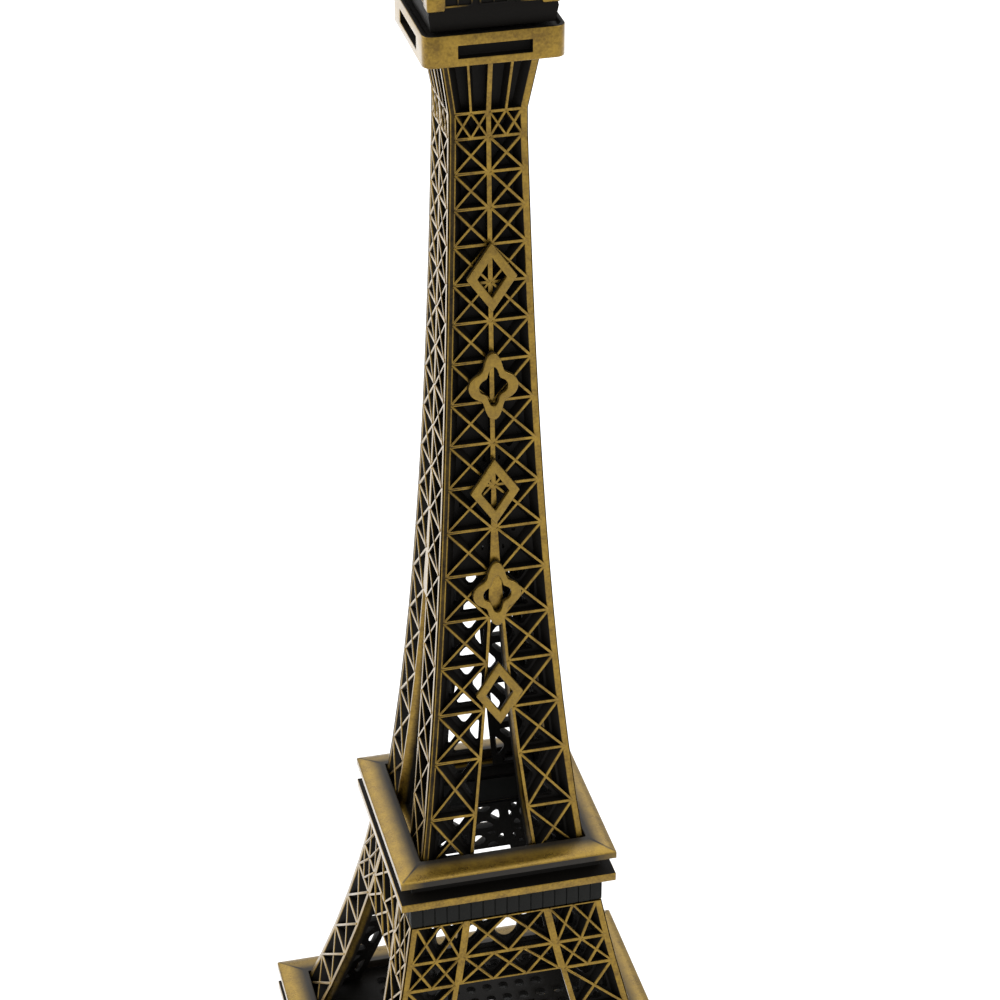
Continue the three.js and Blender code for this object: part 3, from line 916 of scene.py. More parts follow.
@dataclass(frozen=True)
class AntiqueBrass:
    """Brass plating under a dark patina, rubbed bright where hands and polish reach.

    Attributes:
        name: Name of the finish.
        bright: Colour of the rubbed plating, linear.
        dull: Colour of the duller plating between bright patches.
        patina: Colour of the dark recesses.
        bright_rough: Roughness of the rubbed plating.
        patina_rough: Roughness of the patina.
        level: Rub mark at which the plating shows.
        softness: Width of the change from plating to patina.
        breakup: How ragged that change is.
        bump: Height of the grain, in metres.
        grain: Strength of that height.
        coat: Strength of the clear lacquer over the plating.
        coat_rough: Roughness of the lacquer.
        coat_ior: Refraction of the lacquer.
        gloss: Strength of the patina's reflections.
        mottle: Mottle at which the plating is all tarnish, and all bright.
        pitting: Share of the pits in the grain.
        scratching: Share of the scratches in the grain.
        rough_swing: How far the mottle changes the roughness.
        scratch_shine: How much smoother a scratch is.
    """

    name: str
    bright: tuple[float, float, float] = (0.265, 0.163, 0.018)
    dull: tuple[float, float, float] = (0.125, 0.072, 0.007)
    patina: tuple[float, float, float] = (0.0045, 0.0038, 0.003)
    bright_rough: float = 0.32
    patina_rough: float = 0.55
    level: float = 0.5
    softness: float = 0.5
    breakup: float = 0.35
    bump: float = 0.00003
    grain: float = 0.7
    coat: float = 0.85
    coat_rough: float = 0.24
    coat_ior: float = 1.34
    gloss: float = 0.08
    mottle: tuple[float, float] = (0.36, 0.62)
    pitting: float = 0.6
    scratching: float = 0.12
    rough_swing: float = 0.22
    scratch_shine: float = 0.08

    def material(self) -> bpy.types.Material:
        """Builds the finish as a material.

        Returns:
            The material, shared by every piece with this finish.
        """
        found = bpy.data.materials.get(self.name)
        if found:
            return found
        made = bpy.data.materials.new(self.name)
        made.use_nodes = True
        tree = made.node_tree
        shader = tree.nodes["Principled BSDF"]
        shader.inputs["Specular IOR Level"].default_value = self.gloss
        shader.inputs["Coat Roughness"].default_value = self.coat_rough
        shader.inputs["Coat IOR"].default_value = self.coat_ior
        rub = use_group(tree, "rubbed_edge", Breakup=self.breakup, Level=self.level,
                        Softness=self.softness).outputs["Mask"]
        grain = use_group(tree, "cast_grain", Pitting=self.pitting,
                          Scratching=self.scratching)
        plating = self._mix(tree, self._ramp(tree, grain.outputs["Mottle"], *self.mottle),
                            self.dull, self.bright)
        colour = self._mix(tree, rub, self.patina, plating)
        tree.links.new(colour, shader.inputs["Base Color"])
        tree.links.new(rub, shader.inputs["Metallic"])
        tree.links.new(calculate(tree, "MULTIPLY", rub, self.coat), shader.inputs["Coat Weight"])
        rough = calculate(tree, "ADD", self.patina_rough, calculate(
            tree, "MULTIPLY", rub, self.bright_rough - self.patina_rough))
        swing = calculate(tree, "MULTIPLY", grain.outputs["Mottle"], self.rough_swing)
        even = calculate(tree, "SUBTRACT", rough, self.rough_swing / 2)
        shine = calculate(tree, "MULTIPLY", grain.outputs["Scratch"], -self.scratch_shine)
        rough = calculate(tree, "ADD", calculate(tree, "ADD", even, swing), shine, True)
        tree.links.new(rough, shader.inputs["Roughness"])
        bump = add_node(tree, "ShaderNodeBump")
        bump.inputs["Strength"].default_value = self.grain
        bump.inputs["Distance"].default_value = self.bump
        tree.links.new(grain.outputs["Height"], bump.inputs["Height"])
        tree.links.new(bump.outputs["Normal"], shader.inputs["Normal"])
        return made

    @staticmethod
    def _ramp(tree: bpy.types.NodeTree, value: bpy.types.NodeSocket, low: float,
              high: float) -> bpy.types.NodeSocket:
        """Stretches a value so that low becomes 0 and high becomes 1.

        Args:
            tree: Tree to add the nodes to.
            value: The value.
            low: What becomes 0.
            high: What becomes 1.

        Returns:
            The stretched value, kept between 0 and 1.
        """
        share = calculate(tree, "SUBTRACT", value, low)
        return calculate(tree, "DIVIDE", share, high - low, True)

    @staticmethod
    def _mix(tree: bpy.types.NodeTree, share: bpy.types.NodeSocket, first: object,
             second: object) -> bpy.types.NodeSocket:
        """Mixes two colours.

        Args:
            tree: Tree to add the node to.
            share: Share of the second colour.
            first: A socket or a colour.
            second: A socket or a colour.

        Returns:
            The mixed colour.
        """
        node = add_node(tree, "ShaderNodeMix", data_type="RGBA")
        tree.links.new(share, node.inputs[0])
        for socket, value in ((node.inputs[6], first), (node.inputs[7], second)):
            if isinstance(value, bpy.types.NodeSocket):
                tree.links.new(value, socket)
            else:
                socket.default_value = (*value, 1.0)
        return node.outputs[2]


CAST_BRASS = AntiqueBrass("antique_cast_brass")
BRIGHT_BRASS = AntiqueBrass("rubbed_brass", bright=(0.27, 0.168, 0.018),
                            dull=(0.17, 0.102, 0.012), patina=(0.011, 0.008, 0.0045),
                            level=0.66, softness=0.9, breakup=0.1, bright_rough=0.26,
                            bump=0.00001, gloss=0.3)
DARK_BRASS = AntiqueBrass("blackened_brass", bright=(0.3, 0.2, 0.06),
                          dull=(0.06, 0.05, 0.035), patina=(0.0095, 0.0098, 0.009),
                          level=0.75, softness=0.6, breakup=0.5, patina_rough=0.6, gloss=0.1)


@dataclass(frozen=True)
class PaleSweep:
    """Matt pale paper for the studio floor."""

    name: str = "pale_paper"
    colour: tuple[float, float, float] = (0.9, 0.9, 0.9)
    shade: float = 0.985
    rough: float = 0.85

    def material(self) -> bpy.types.Material:
        """Builds the paper as a material with a faint tone variation.

        Returns:
            The material.
        """
        made = bpy.data.materials.new(self.name)
        made.use_nodes = True
        tree = made.node_tree
        shader = tree.nodes["Principled BSDF"]
        shader.inputs["Roughness"].default_value = self.rough
        place = add_node(tree, "ShaderNodeTexCoord").outputs["Object"]
        tone = pattern(tree, place, 3.0)
        ramp = add_node(tree, "ShaderNodeValToRGB")
        ramp.color_ramp.elements[0].color = (*(c * self.shade for c in self.colour), 1.0)
        ramp.color_ramp.elements[1].color = (*self.colour, 1.0)
        tree.links.new(tone, ramp.inputs["Fac"])
        tree.links.new(ramp.outputs["Color"], shader.inputs["Base Color"])
        return made


FINISHES = {Slot.CAST: CAST_BRASS, Slot.DARK: DARK_BRASS, Slot.BRIGHT: BRIGHT_BRASS}


def place_piece(bm: BMesh, name: str, nodes: Sequence[str], slot: Slot = Slot.CAST,
                finish: AntiqueBrass | None = None, sharp: float = 40.0) -> None:
    """Turns a finished mesh into a piece that stands for its CAD nodes.

    Args:
        bm: Mesh in millimetres; it is used up.
        name: Name of the piece.
        nodes: CAD nodes that it stands for.
        slot: Material slot of the record.
        finish: Its finish, or none for the slot's own.
        sharp: Edges with a larger angle, in degrees, stay crisp.
    """
    bmesh.ops.scale(bm, vec=(MM, MM, MM), verts=bm.verts)
    mesh = bpy.data.meshes.new(name)
    bm.to_mesh(mesh)
    bm.free()
    for polygon in mesh.polygons:
        polygon.use_smooth = True
    mesh.set_sharp_from_angle(angle=math.radians(sharp))
    mesh.materials.append((finish or FINISHES[slot]).material())
    piece = bpy.data.objects.new(name, mesh)
    bpy.context.scene.collection.objects.link(piece)
    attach(piece, "root")
    if nodes:
        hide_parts(*nodes)
    LOG.info("%s: %d faces", name, len(mesh.polygons))


def place_on_faces(bm: BMesh, name: str) -> None:
    """Places a copy of a front casting on each of the tower's four faces.

    Args:
        bm: The casting on the front face, in millimetres.
        name: Name with {face} where the face's name goes.
    """
    for index, face in enumerate(FACES):
        copy = bm.copy()
        bmesh.ops.rotate(copy, cent=(0, 0, 0), verts=copy.verts,
                         matrix=Matrix.Rotation(index * math.pi / 2.0, 3, "Z"))
        node = name.format(face=face)
        place_piece(copy, f"{node}_casting", [node])
    bm.free()


# ---- lattice castings -----------------------------------------------------------------


@dataclass
class Lattice:
    """What the lattice castings share: bar widths and how rails and bays stack."""

    bar: float = 0.39
    strip: float = 0.1
    border: float = 1.0

    def rows(self, rails: Sequence[float]) -> list[float]:
        """Gives each rail a thin strip of its own between the bays above and below it.

        Args:
            rails: Heights of the rails.

        Returns:
            Heights of the grid's rows.
        """
        inner = [z + side * self.strip / 2 for z in rails[1:-1] for side in (-1, 1)]
        return [rails[0], rails[0] + self.strip / 2, *inner, rails[-1] - self.strip / 2, rails[-1]]

    def post(self) -> float:
        """Width of the strip along a border, before the bar that edges the bay."""
        return self.border - self.bar / 2

    @staticmethod
    def bay_row(index: int) -> int:
        """Row of the grid that holds a bay."""
        return 2 * index + 1

    def leg_corner(self, rows: Sequence[float], inner: Line, outer: Line) -> Corner:
        """Lays out a leg: a bay between two posts.

        Args:
            rows: Heights of the grid's rows.
            inner: The leg's inner edge at a height.
            outer: Its outer edge.

        Returns:
            The place of a grid corner, by its column and row.
        """
        def corner(column: int, row: int) -> tuple[float, float]:
            """Places a grid corner.

            Args:
                column: Its column.
                row: Its row.

            Returns:
                Its place as (across, height).
            """
            z = rows[row]
            near, far = inner(z), outer(z)
            return (near, near + self.post(), far - self.post(), far)[column], z

        return corner

    @staticmethod
    def beam_corner(rows: Sequence[float], reach: Line, end: float) -> Corner:
        """Lays out a girder: a bay between two narrow ends.

        Args:
            rows: Heights of the grid's rows.
            reach: Half length of the girder at a height.
            end: Width of its ends.

        Returns:
            The place of a grid corner, by its column and row.
        """
        def corner(column: int, row: int) -> tuple[float, float]:
            """Places a grid corner.

            Args:
                column: Its column.
                row: Its row.

            Returns:
                Its place as (across, height).
            """
            side = reach(rows[row])
            return (-side, end - side, side - end, side)[column], rows[row]

        return corner

    @staticmethod
    def place_pair(right: BMesh, name: str, outer: Line, inner: Line) -> None:
        """Places a leg casting and its mirror image on all faces.

        Args:
            right: The flat casting of the right leg.
            name: Start of the nodes' names, with {face} where the face's name goes.
            outer: Half width of the tower at a height.
            inner: The leg's inner edge.
        """
        left = mirrored_plate(right)
        for bm, hand in ((right, "right"), (left, "left")):
            bend_to_face(bm, outer, inner)
            place_on_faces(bm, name + hand)


@dataclass
class Shaft(Lattice):
    """The tall tapering shaft: four castings of crossed bays, ribs and flutes."""

    bays: int = 15
    foot_bays: tuple[float, ...] = (10.5, 11.9)
    first_bay: float = 10.1
    last_bay: float = 6.3
    small_band: float = 4.6
    flutes: float = 10.4
    open_bays: int = 6
    flecked_bays: int = 3
    slit_bays: int = 5
    rib_width: float = 0.85
    rib_edge: float = 0.08
    hip: float = 0.3
    # Share of the wear kept on the left post of each face; the rest is painted shade that darkens
    # the post.
    dull: float = 0.3
    side_columns: tuple[int, int] = (2, 6)
    slit_column: int = 4
    seed: int = 7

    def rails(self) -> list[float]:
        """Places the level bars.

        Returns:
            Their heights, from the foot of the shaft to its top.
        """
        bays = [*self.foot_bays, *spaced(self.first_bay, self.last_bay, self.bays - 1)]
        height = OUTLINE.shaft_top - OUTLINE.shaft_foot
        stretch = (height - self.small_band - self.flutes) / sum(bays)
        rails = [OUTLINE.shaft_foot]
        for bay in bays:
            rails.append(rails[-1] + bay * stretch)
        return [*rails, rails[-1] + self.small_band, OUTLINE.shaft_top]

    def build(self) -> None:
        """Builds the casting and places it on all four faces."""
        rails = self.rows(self.rails())

        def corner(column: int, row: int) -> tuple[float, float]:
            """Places a grid corner.

            Args:
                column: Its column.
                row: Its row.

            Returns:
                Its place as (across, height).
            """
            z = rails[row]
            half, rib = OUTLINE.shaft_half(z), OUTLINE.rib(z)
            lines = (rib - self.rib_width / 2, rib - self.rib_edge, half - self.post(),
                     half - self.hip, half)
            last = self.slit_column
            left = column <= last
            place = max(self.rib_edge, lines[last - column if left else column - last - 1])
            return -place if left else place, z

        count = len(self.rails()) - 1
        bays: dict[tuple[int, int], Bay] = {}
        for i in range(count):
            row = self.bay_row(i)
            for column in self.side_columns:
                bays[(column, row)] = self._bay(i, count)
        for row in range(1, self.bay_row(self.slit_bays)):
            bays[(self.slit_column, row)] = Bay(Cell.OPEN)
        bm = ReliefPlate(2 * self.slit_column + 1, len(rails) - 1, corner, bays, bar=self.bar,
                         seed=self.seed).build()
        # Painted shade: the left post of each face is darkened.
        self._paint_left_post_shade(bm)
        bend_to_face(bm, OUTLINE.shaft_half)
        place_on_faces(bm, "shaft_{face}")

    def _paint_left_post_shade(self, bm: BMesh) -> None:
        """Paints shade onto the left post: its wear mark is cut so that it shows dark, all but a
        line along its corner.

        Args:
            bm: The flat casting, with its wear marked.
        """
        layer = bm.verts.layers.float[RUB]
        for vert in bm.verts:
            inward = OUTLINE.shaft_half(vert.co.z) + vert.co.x
            if 0.2 < inward < self.border - 0.1:
                # Painted shade: cuts the post's wear mark so that it shows dark.
                vert[layer] *= self.dull

    def _bay(self, index: int, count: int) -> Bay:
        """Chooses what a bay holds.

        Args:
            index: Number of the bay from the foot.
            count: Number of bays.

        Returns:
            The bay.
        """
        if index == count - 1:
            return Bay(Cell.COFFER, 2)
        if index == count - 2:
            return Bay(Cell.BLIND_CROSS, 2)
        if index < self.open_bays:
            return Bay(Cell.CROSS, margin=0.5, rounding=1.1)
        if index < self.open_bays + self.flecked_bays:
            return Bay(Cell.FLECKED_CROSS, rounding=0.6)
        return Bay(Cell.BLIND_CROSS)


@dataclass
class MidLegs(Lattice):
    """Legs and girders between the two decks."""

    girder_drop: float = 13.2
    rail_drop: float = 7.6
    overlap: float = 0.02
    leg_bays: int = 4

    def build(self) -> None:
        """Builds the two leg castings and the girder, and places them on all faces."""
        foot = OUTLINE.mid_top - self.girder_drop
        levels = [*spaced(OUTLINE.mid_foot, foot, self.leg_bays),
                  OUTLINE.mid_top - self.rail_drop, OUTLINE.mid_top]
        rows = self.rows(levels)
        corner = self.leg_corner(rows, OUTLINE.mid_inner, OUTLINE.mid_half)
        bays = {(1, self.bay_row(i)): Bay(Cell.CROSS, margin=0.45, rounding=2.0)
                for i in range(self.leg_bays)}
        for i in (self.leg_bays, self.leg_bays + 1):
            bays[(1, self.bay_row(i))] = divided(2)
        right = ReliefPlate(3, len(rows) - 1, corner, bays).build()
        self.place_pair(right, "mid_leg_{face}_", OUTLINE.mid_half, OUTLINE.mid_inner)
        self._girder()

    def _girder(self) -> None:
        """Builds the girder between the legs' inner edges."""
        rows = self.rows([OUTLINE.mid_top - self.girder_drop, OUTLINE.mid_top - self.rail_drop,
                          OUTLINE.mid_top])
        corner = self.beam_corner(rows, lambda z: OUTLINE.mid_inner(z) + self.overlap, 0.2)
        bays = {(1, 1): divided(3), (1, 3): divided(2)}
        bm = ReliefPlate(3, len(rows) - 1, corner, bays).build()
        bend_to_face(bm, OUTLINE.mid_half, OUTLINE.mid_inner)
        place_on_faces(bm, "mid_girder_{face}")


@dataclass
class LowerLegs(Lattice):
    """Splayed legs below the first deck."""

    leg_bays: int = 4

    def build(self) -> None:
        """Builds the two leg castings and places them on all faces."""
        rows = self.rows(spaced(OUTLINE.leg_foot, OUTLINE.leg_top, self.leg_bays))
        corner = self.leg_corner(rows, OUTLINE.lower_inner, OUTLINE.lower_half)
        bays = {(1, self.bay_row(i)): Bay(Cell.CROSS, margin=0.5, rounding=2.0)
                for i in range(self.leg_bays)}
        right = ReliefPlate(3, len(rows) - 1, corner, bays).build()
        self._round_out(right, rows)
        self.place_pair(right, "lower_leg_{face}_", OUTLINE.lower_half, OUTLINE.lower_inner)

    @staticmethod
    def _round_out(bm: BMesh, rows: Sequence[float]) -> None:
        """Cuts each bay level in four, and moves the new corners onto the curved outline.

        Args:
            bm: The flat casting.
            rows: Heights of the grid's rows, between which its edges are straight.
        """
        def edges(z: float) -> tuple[float, float]:
            """Returns the leg's inner and outer edges at a height."""
            return OUTLINE.lower_inner(z), OUTLINE.lower_half(z)

        for low, high in zip(rows[1:-1:2], rows[2:-1:2]):
            for z in spaced(low, high, 4)[1:-1]:
                geom = [*bm.verts, *bm.edges, *bm.faces]
                bmesh.ops.bisect_plane(bm, geom=geom, dist=TINY, plane_co=(0, 0, z),
                                       plane_no=Z_AXIS)
        for vert in bm.verts:
            z = vert.co.z
            row = max(i for i in range(len(rows) - 1) if rows[i] <= z + TINY or i == 0)
            share = (z - rows[row]) / (rows[row + 1] - rows[row])
            straight = [blend(a, b, share) for a, b in zip(edges(rows[row]), edges(rows[row + 1]))]
            across = (vert.co.x - straight[0]) / (straight[1] - straight[0])
            vert.co.x = blend(*edges(z), across)


@dataclass
class Arches(Lattice):
    """Arches between the lower legs, each with its spandrels and level girder."""

    band: float = 3.4
    girder_height: float = 5.0
    windows: int = 9
    coffers: int = 32
    lip: float = 0.75
    least_spandrel: float = 1.6

    def build(self) -> None:
        """Builds an arch with its girder and places it on all faces."""
        foot = OUTLINE.leg_top - self.girder_height
        bm = self._ring(foot)
        take_in(bm, self._girder(foot))
        bend_to_face(bm, OUTLINE.lower_half, OUTLINE.lower_inner)
        place_on_faces(bm, "arch_{face}")

    def _ring(self, foot: float) -> BMesh:
        """Builds the arch's ring and the spandrels up to the girder's foot.

        Args:
            foot: Height of the girder's lower edge.

        Returns:
            The flat ring.
        """
        centre, outer = OUTLINE.arch_centre, OUTLINE.arch_radius
        soffit = outer - self.band
        spring = math.asin((OUTLINE.leg_foot - centre) / soffit)
        top = OUTLINE.lower_top_half - OUTLINE.lower_leg_width - OUTLINE.gap
        lean = OUTLINE.lower_inner_splay

        def reach(angle: float) -> float:
            """Gives the spandrels' outer edge.

            Args:
                angle: Direction from the arch's centre.

            Returns:
                Distance of the edge from the centre.
            """
            up = (foot - centre) / math.sin(angle)
            side = (top + lean * (OUTLINE.leg_top - centre)) / (
                abs(math.cos(angle)) + lean * math.sin(angle))
            return max(outer, min(up, side))

        angles = spaced(math.pi - spring, spring, self.coffers)

        def corner(column: int, row: int) -> tuple[float, float]:
            """Places a grid corner.

            Args:
                column: Its column.
                row: Its row.

            Returns:
                Its place as (across, height).
            """
            angle = angles[column]
            radius = (soffit, outer - self.lip, reach(angle))[row]
            z = centre + radius * math.sin(angle)
            if row == 0 and column in (0, self.coffers):
                z = OUTLINE.leg_foot
            return radius * math.cos(angle), min(z, foot)

        bays = {(i, 0): Bay(Cell.COFFER) for i in range(self.coffers)}
        for i in range(self.coffers):
            if min(reach(angles[i]), reach(angles[i + 1])) > outer + self.least_spandrel:
                bays[(i, 1)] = Bay(Cell.PIERCED, margin=0.45, rounding=1.0)
        return ReliefPlate(self.coffers, 2, corner, bays, bar=0.8, sink=0.8).build()

    def _girder(self, foot: float) -> BMesh:
        """Builds the level girder with its row of crosses.

        Args:
            foot: Height of its lower edge.

        Returns:
            The flat girder.
        """
        rows = self.rows([foot, OUTLINE.leg_top])
        corner = self.beam_corner(rows, lambda z: OUTLINE.lower_inner(z) - OUTLINE.gap, 0.4)
        bays = {(1, 1): divided(self.windows)}
        return ReliefPlate(3, 3, corner, bays).build()


# ---- decks ----------------------------------------------------------------------------


@dataclass
class Deck:
    """A gallery deck: a frieze of blocks, a grooved lower plate and a sloping upper frame.

    Attributes:
        name: Start of its nodes' names.
        blocks: Blocks on each side of the frieze.
        lattice: Half width at a height of the castings that stand in the deck.
        proud: How far the blocks stand out.
        lip: Upright edge of the lower plate.
        rise: Slope of the groove's floor.
        groove: Depth of the groove.
        edge: Upright edge of the upper frame.
        well: Half width of the open middle.
        wall: Thickness of the shell.
        holes: Whether the floor has rows of round holes.
        hole_pitch: Distance between the holes, roughly.
        slit: Gap between the frieze's blocks.
    """

    name: str
    blocks: int
    lattice: Line
    proud: float = 0.3
    lip: float = 1.7
    rise: float = 0.75
    groove: float = 2.6
    edge: float = 1.5
    well: float = 14.0
    wall: float = 1.2
    holes: bool = False
    hole_pitch: float = 3.6
    slit: float = 0.16

    def build(self) -> None:
        """Builds the frieze and both plates."""
        self._frieze()
        self._lower()
        self._upper()

    def _frieze(self) -> None:
        """Builds the ring of blocks under the deck."""
        half, base, top = extent(f"{self.name}_band")
        core = half - self.proud
        bm = square_turn([(core, base), (core, top), (core - 1.6, top), (core - 1.6, base)])
        pitch = 2 * half / self.blocks
        width, depth, height = pitch - self.slit, self.proud + 0.2, top - base - 0.1
        middle, corner = (base + top) / 2, half - pitch / 2
        for turn in QUARTERS:
            for i in range(self.blocks - 1):
                centre = (-half + (i + 0.5) * pitch, -half + depth / 2, middle)
                block(bm, (width, depth, height), centre, 0.1, turn)
            block(bm, (width, width, height), (corner, -corner, middle), 0.1, turn)
        mark_rub(bm, rim_rub(half, 0.25, 0.0, 0.0, 0.35))
        place_piece(bm, f"{self.name}_frieze", [f"{self.name}_band"], Slot.DARK)

    def _lower(self) -> None:
        """Builds the lower plate as a thin shell with a grooved rim."""
        half, base, ledge = extent(f"{self.name}_lower_plate")
        neck = half - self.groove
        inner = neck - self.wall
        lip = base + self.lip
        bm = square_turn([
            (half, base), (half, lip), (neck, lip + self.rise), (neck, ledge),
            (inner, ledge), (inner, base),
        ])
        soften(bm, 0.16, 3)
        rim = rim_rub(half, 0.2, 0.04)
        mark_rub(bm, lambda co: rim(co) * (1.0 - smooth(lip - 0.02, lip + 0.1, co.z)))
        take_in(bm, self._floor(inner + 0.3, ledge))
        place_piece(bm, f"{self.name}_lower_casting", [f"{self.name}_lower_plate"])

    def _floor(self, half: float, top: float) -> BMesh:
        """Builds the floor round the open middle.

        Args:
            half: Half width of the floor.
            top: Height of its upper side.

        Returns:
            The floor, in place.
        """
        outer, inside = [self.well, half], []
        if self.holes:
            outer = spaced(self.well, half, max(2, round((half - self.well) / self.hole_pitch)))
            inside = spaced(-self.well, self.well, 8)[1:-1]
        lines = [*(-v for v in reversed(outer)), *inside, *outer]
        cells = len(lines) - 1
        bays: dict[tuple[int, int], Bay] = {}
        for column in range(cells):
            for row in range(cells):
                middle = [(lines[k] + lines[k + 1]) / 2 for k in (column, row)]
                if max(abs(m) for m in middle) < self.well:
                    bays[(column, row)] = Bay(Cell.OPEN)
                elif self.holes and min(abs(m) for m in middle) < self.well + 2 and max(
                        abs(m) for m in middle) < half - 3:
                    bays[(column, row)] = Bay(Cell.PIERCED, margin=0.8, rounding=3.0)
        bm = ReliefPlate(cells, cells, lambda c, r: (lines[c], lines[r]), bays,
                         depth=self.wall).build()
        bmesh.ops.rotate(bm, cent=(0, 0, 0), matrix=Matrix.Rotation(-math.pi / 2, 3, "X"),
                         verts=bm.verts)
        bmesh.ops.translate(bm, verts=bm.verts, vec=(0, 0, top))
        mark_rub(bm, lambda co: 0.0)
        return bm

    def _upper(self) -> None:
        """Builds the sloping frame round the lattice that stands in the deck."""
        half, base, top = extent(f"{self.name}_upper_plate")
        shoulder = base + self.edge
        inner_low = self.lattice(base) + OUTLINE.gap
        inner_top = self.lattice(top) + OUTLINE.gap
        slope = [(blend(half, inner_top, share), blend(shoulder, top, share))
                 for share in (0, 0.3, 0.62, 1)]
        bm = square_turn([(inner_low, base), (half, base), *slope])
        mitres = [e for e in bm.edges if all(
            v.co.z > shoulder - TINY and abs(abs(v.co.x) - abs(v.co.y)) < TINY for v in e.verts)]
        bevel(bm, mitres, 0.3)
        soften(bm, 0.14, 3)

        def rub(co: Vector) -> float:
            """Gives the rub mark at a place: the slope is bright at its outer edge and darker
            towards the lattice, and the upright edge of the left face is marked bright all along as
            a painted highlight.

            Args:
                co: The place.

            Returns:
                The wear.
            """
            reach = square_reach(co)
            along = min(abs(co.x), abs(co.y)) / reach
            inward = 1.0 - smooth(0.3, 0.95, (half - reach) / (half - inner_top))
            if co.z < shoulder - 0.2:
                # Painted highlight: the left face's upright edge is marked bright all along, while
                # the other faces' edges are bright only at the corners.
                return 0.9 if co.x < 0.05 - half else 0.1 + 0.7 * smooth(0.8, 1.0, along)
            mitre = 1.0 - smooth(0.02, 0.15, abs(abs(co.x) - abs(co.y)))
            return 0.05 + 0.95 * inward - 0.6 * mitre * (reach < half - 0.3)

        bmesh.ops.subdivide_edges(
            bm, edges=[e for e in bm.edges if e.calc_length() > half], cuts=7)
        mark_rub(bm, rub)
        place_piece(bm, f"{self.name}_frame", [f"{self.name}_upper_plate"],
                    Slot.BRIGHT)


# ---- ornaments ------------------------------------------------------------------------


@dataclass
class Ornaments:
    """Raised lozenges and quatrefoils up the front of the shaft."""

    width: float = 9.0
    height: float = 13.0
    thickness: float = 1.2
    stroke: float = 1.9
    tall: float = 1.4

    def build(self) -> None:
        """Builds every ornament where its CAD node is."""
        names = sorted(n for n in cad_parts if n.startswith("ornament_"))
        for name in names:
            low, high = cad_box(name)
            z = (low.z + high.z) / 2
            tilt = math.atan((OUTLINE.shaft_half(z - 1) - OUTLINE.shaft_half(z + 1)) / 2)
            bm = self._plate(name.endswith("quatrefoil"))
            matrix = Matrix.Translation((0, -OUTLINE.shaft_half(z) - OUTLINE.gap + 0.05, z))
            matrix = matrix @ Matrix.Rotation(math.pi / 2 - tilt, 4, "X")
            bmesh.ops.transform(bm, matrix=matrix, verts=bm.verts)
            place_piece(bm, f"{name}_relief", [name], Slot.BRIGHT)

    @staticmethod
    def _reach(lobed: bool, angle: float) -> float:
        """Gives an ornament's outline.

        Args:
            lobed: Whether it is a quatrefoil; if not, it is a lozenge.
            angle: Direction from its middle.

        Returns:
            Distance to the outline, as a share of the half size.
        """
        if lobed:
            return 0.82 + 0.18 * math.cos(4 * angle)
        return 1.0 / (abs(math.cos(angle)) + abs(math.sin(angle)))

    def _plate(self, lobed: bool) -> BMesh:
        """Draws one ornament flat, facing up, as an open frame.

        Args:
            lobed: Whether it is a quatrefoil; if not, it is a lozenge.

        Returns:
            The closed mesh, with its wear marked.
        """
        bm = bmesh.new()
        for inset in (0.0, self.stroke):
            verts = bmesh.ops.create_circle(bm, segments=64 if lobed else 4, radius=1.0)["verts"]
            for vert in verts:
                angle = math.atan2(vert.co.y, vert.co.x)
                reach = self._reach(lobed, angle)
                vert.co = ((self.width / 2 - inset) * reach * math.cos(angle),
                           (self.height / 2 - inset * self.tall) * reach * math.sin(angle), 0.0)
        bmesh.ops.bridge_loops(bm, edges=list(bm.edges))
        bmesh.ops.solidify(bm, geom=list(bm.faces), thickness=self.thickness)
        tidy(bm)
        lowest = min(v.co.z for v in bm.verts)
        bmesh.ops.translate(bm, verts=bm.verts, vec=(0, 0, -lowest))
        soften(bm, 0.18, 3, 50.0)
        top = self.thickness
        mark_rub(bm, lambda co: smooth(0.1 * top, 0.75 * top, co.z))
        return bm


# ---- top of the tower -----------------------------------------------------------------


def side_faces(bm: BMesh, height: float) -> list[BMFace]:
    """Finds the largest upright face on each side of a mesh.

    Args:
        bm: The mesh.
        height: Height that the faces cross.

    Returns:
        The four faces, from the front round to the left.
    """
    found = []
    for turn in QUARTERS:
        outward = Matrix.Rotation(turn, 3, "Z") @ Vector((0, -1, 0))
        facing = [f for f in bm.faces if f.normal.dot(outward) > 0.98
                  and min(v.co.z for v in f.verts) < height < max(v.co.z for v in f.verts)]
        found.append(max(facing, key=lambda f: f.calc_area()))
    return found


def sink_window(bm: BMesh, face: BMFace, size: tuple[float, float], depth: float,
                centre: float) -> None:
    """Sinks a rectangular window into an upright face.

    Args:
        bm: Mesh that holds it.
        face: Face to sink it in.
        size: Its width and height.
        depth: Its depth.
        centre: Height of its middle.
    """
    normal = face.normal.copy()
    across = Z_AXIS.cross(normal)
    bmesh.ops.inset_individual(bm, faces=[face], thickness=0.2)
    middle = face.calc_center_median()
    for vert in face.verts:
        side = math.copysign(size[0] / 2, (vert.co - middle).dot(across))
        rise = math.copysign(size[1] / 2, vert.co.z - middle.z)
        flat = middle + across * (side - middle.dot(across))
        vert.co = Vector((flat.x, flat.y, centre + rise))
    bmesh.ops.inset_individual(bm, faces=[face], thickness=0.01, depth=-WINDOW_SHINE)
    bmesh.ops.inset_individual(bm, faces=[face], thickness=0.02, depth=WINDOW_SHINE - depth)


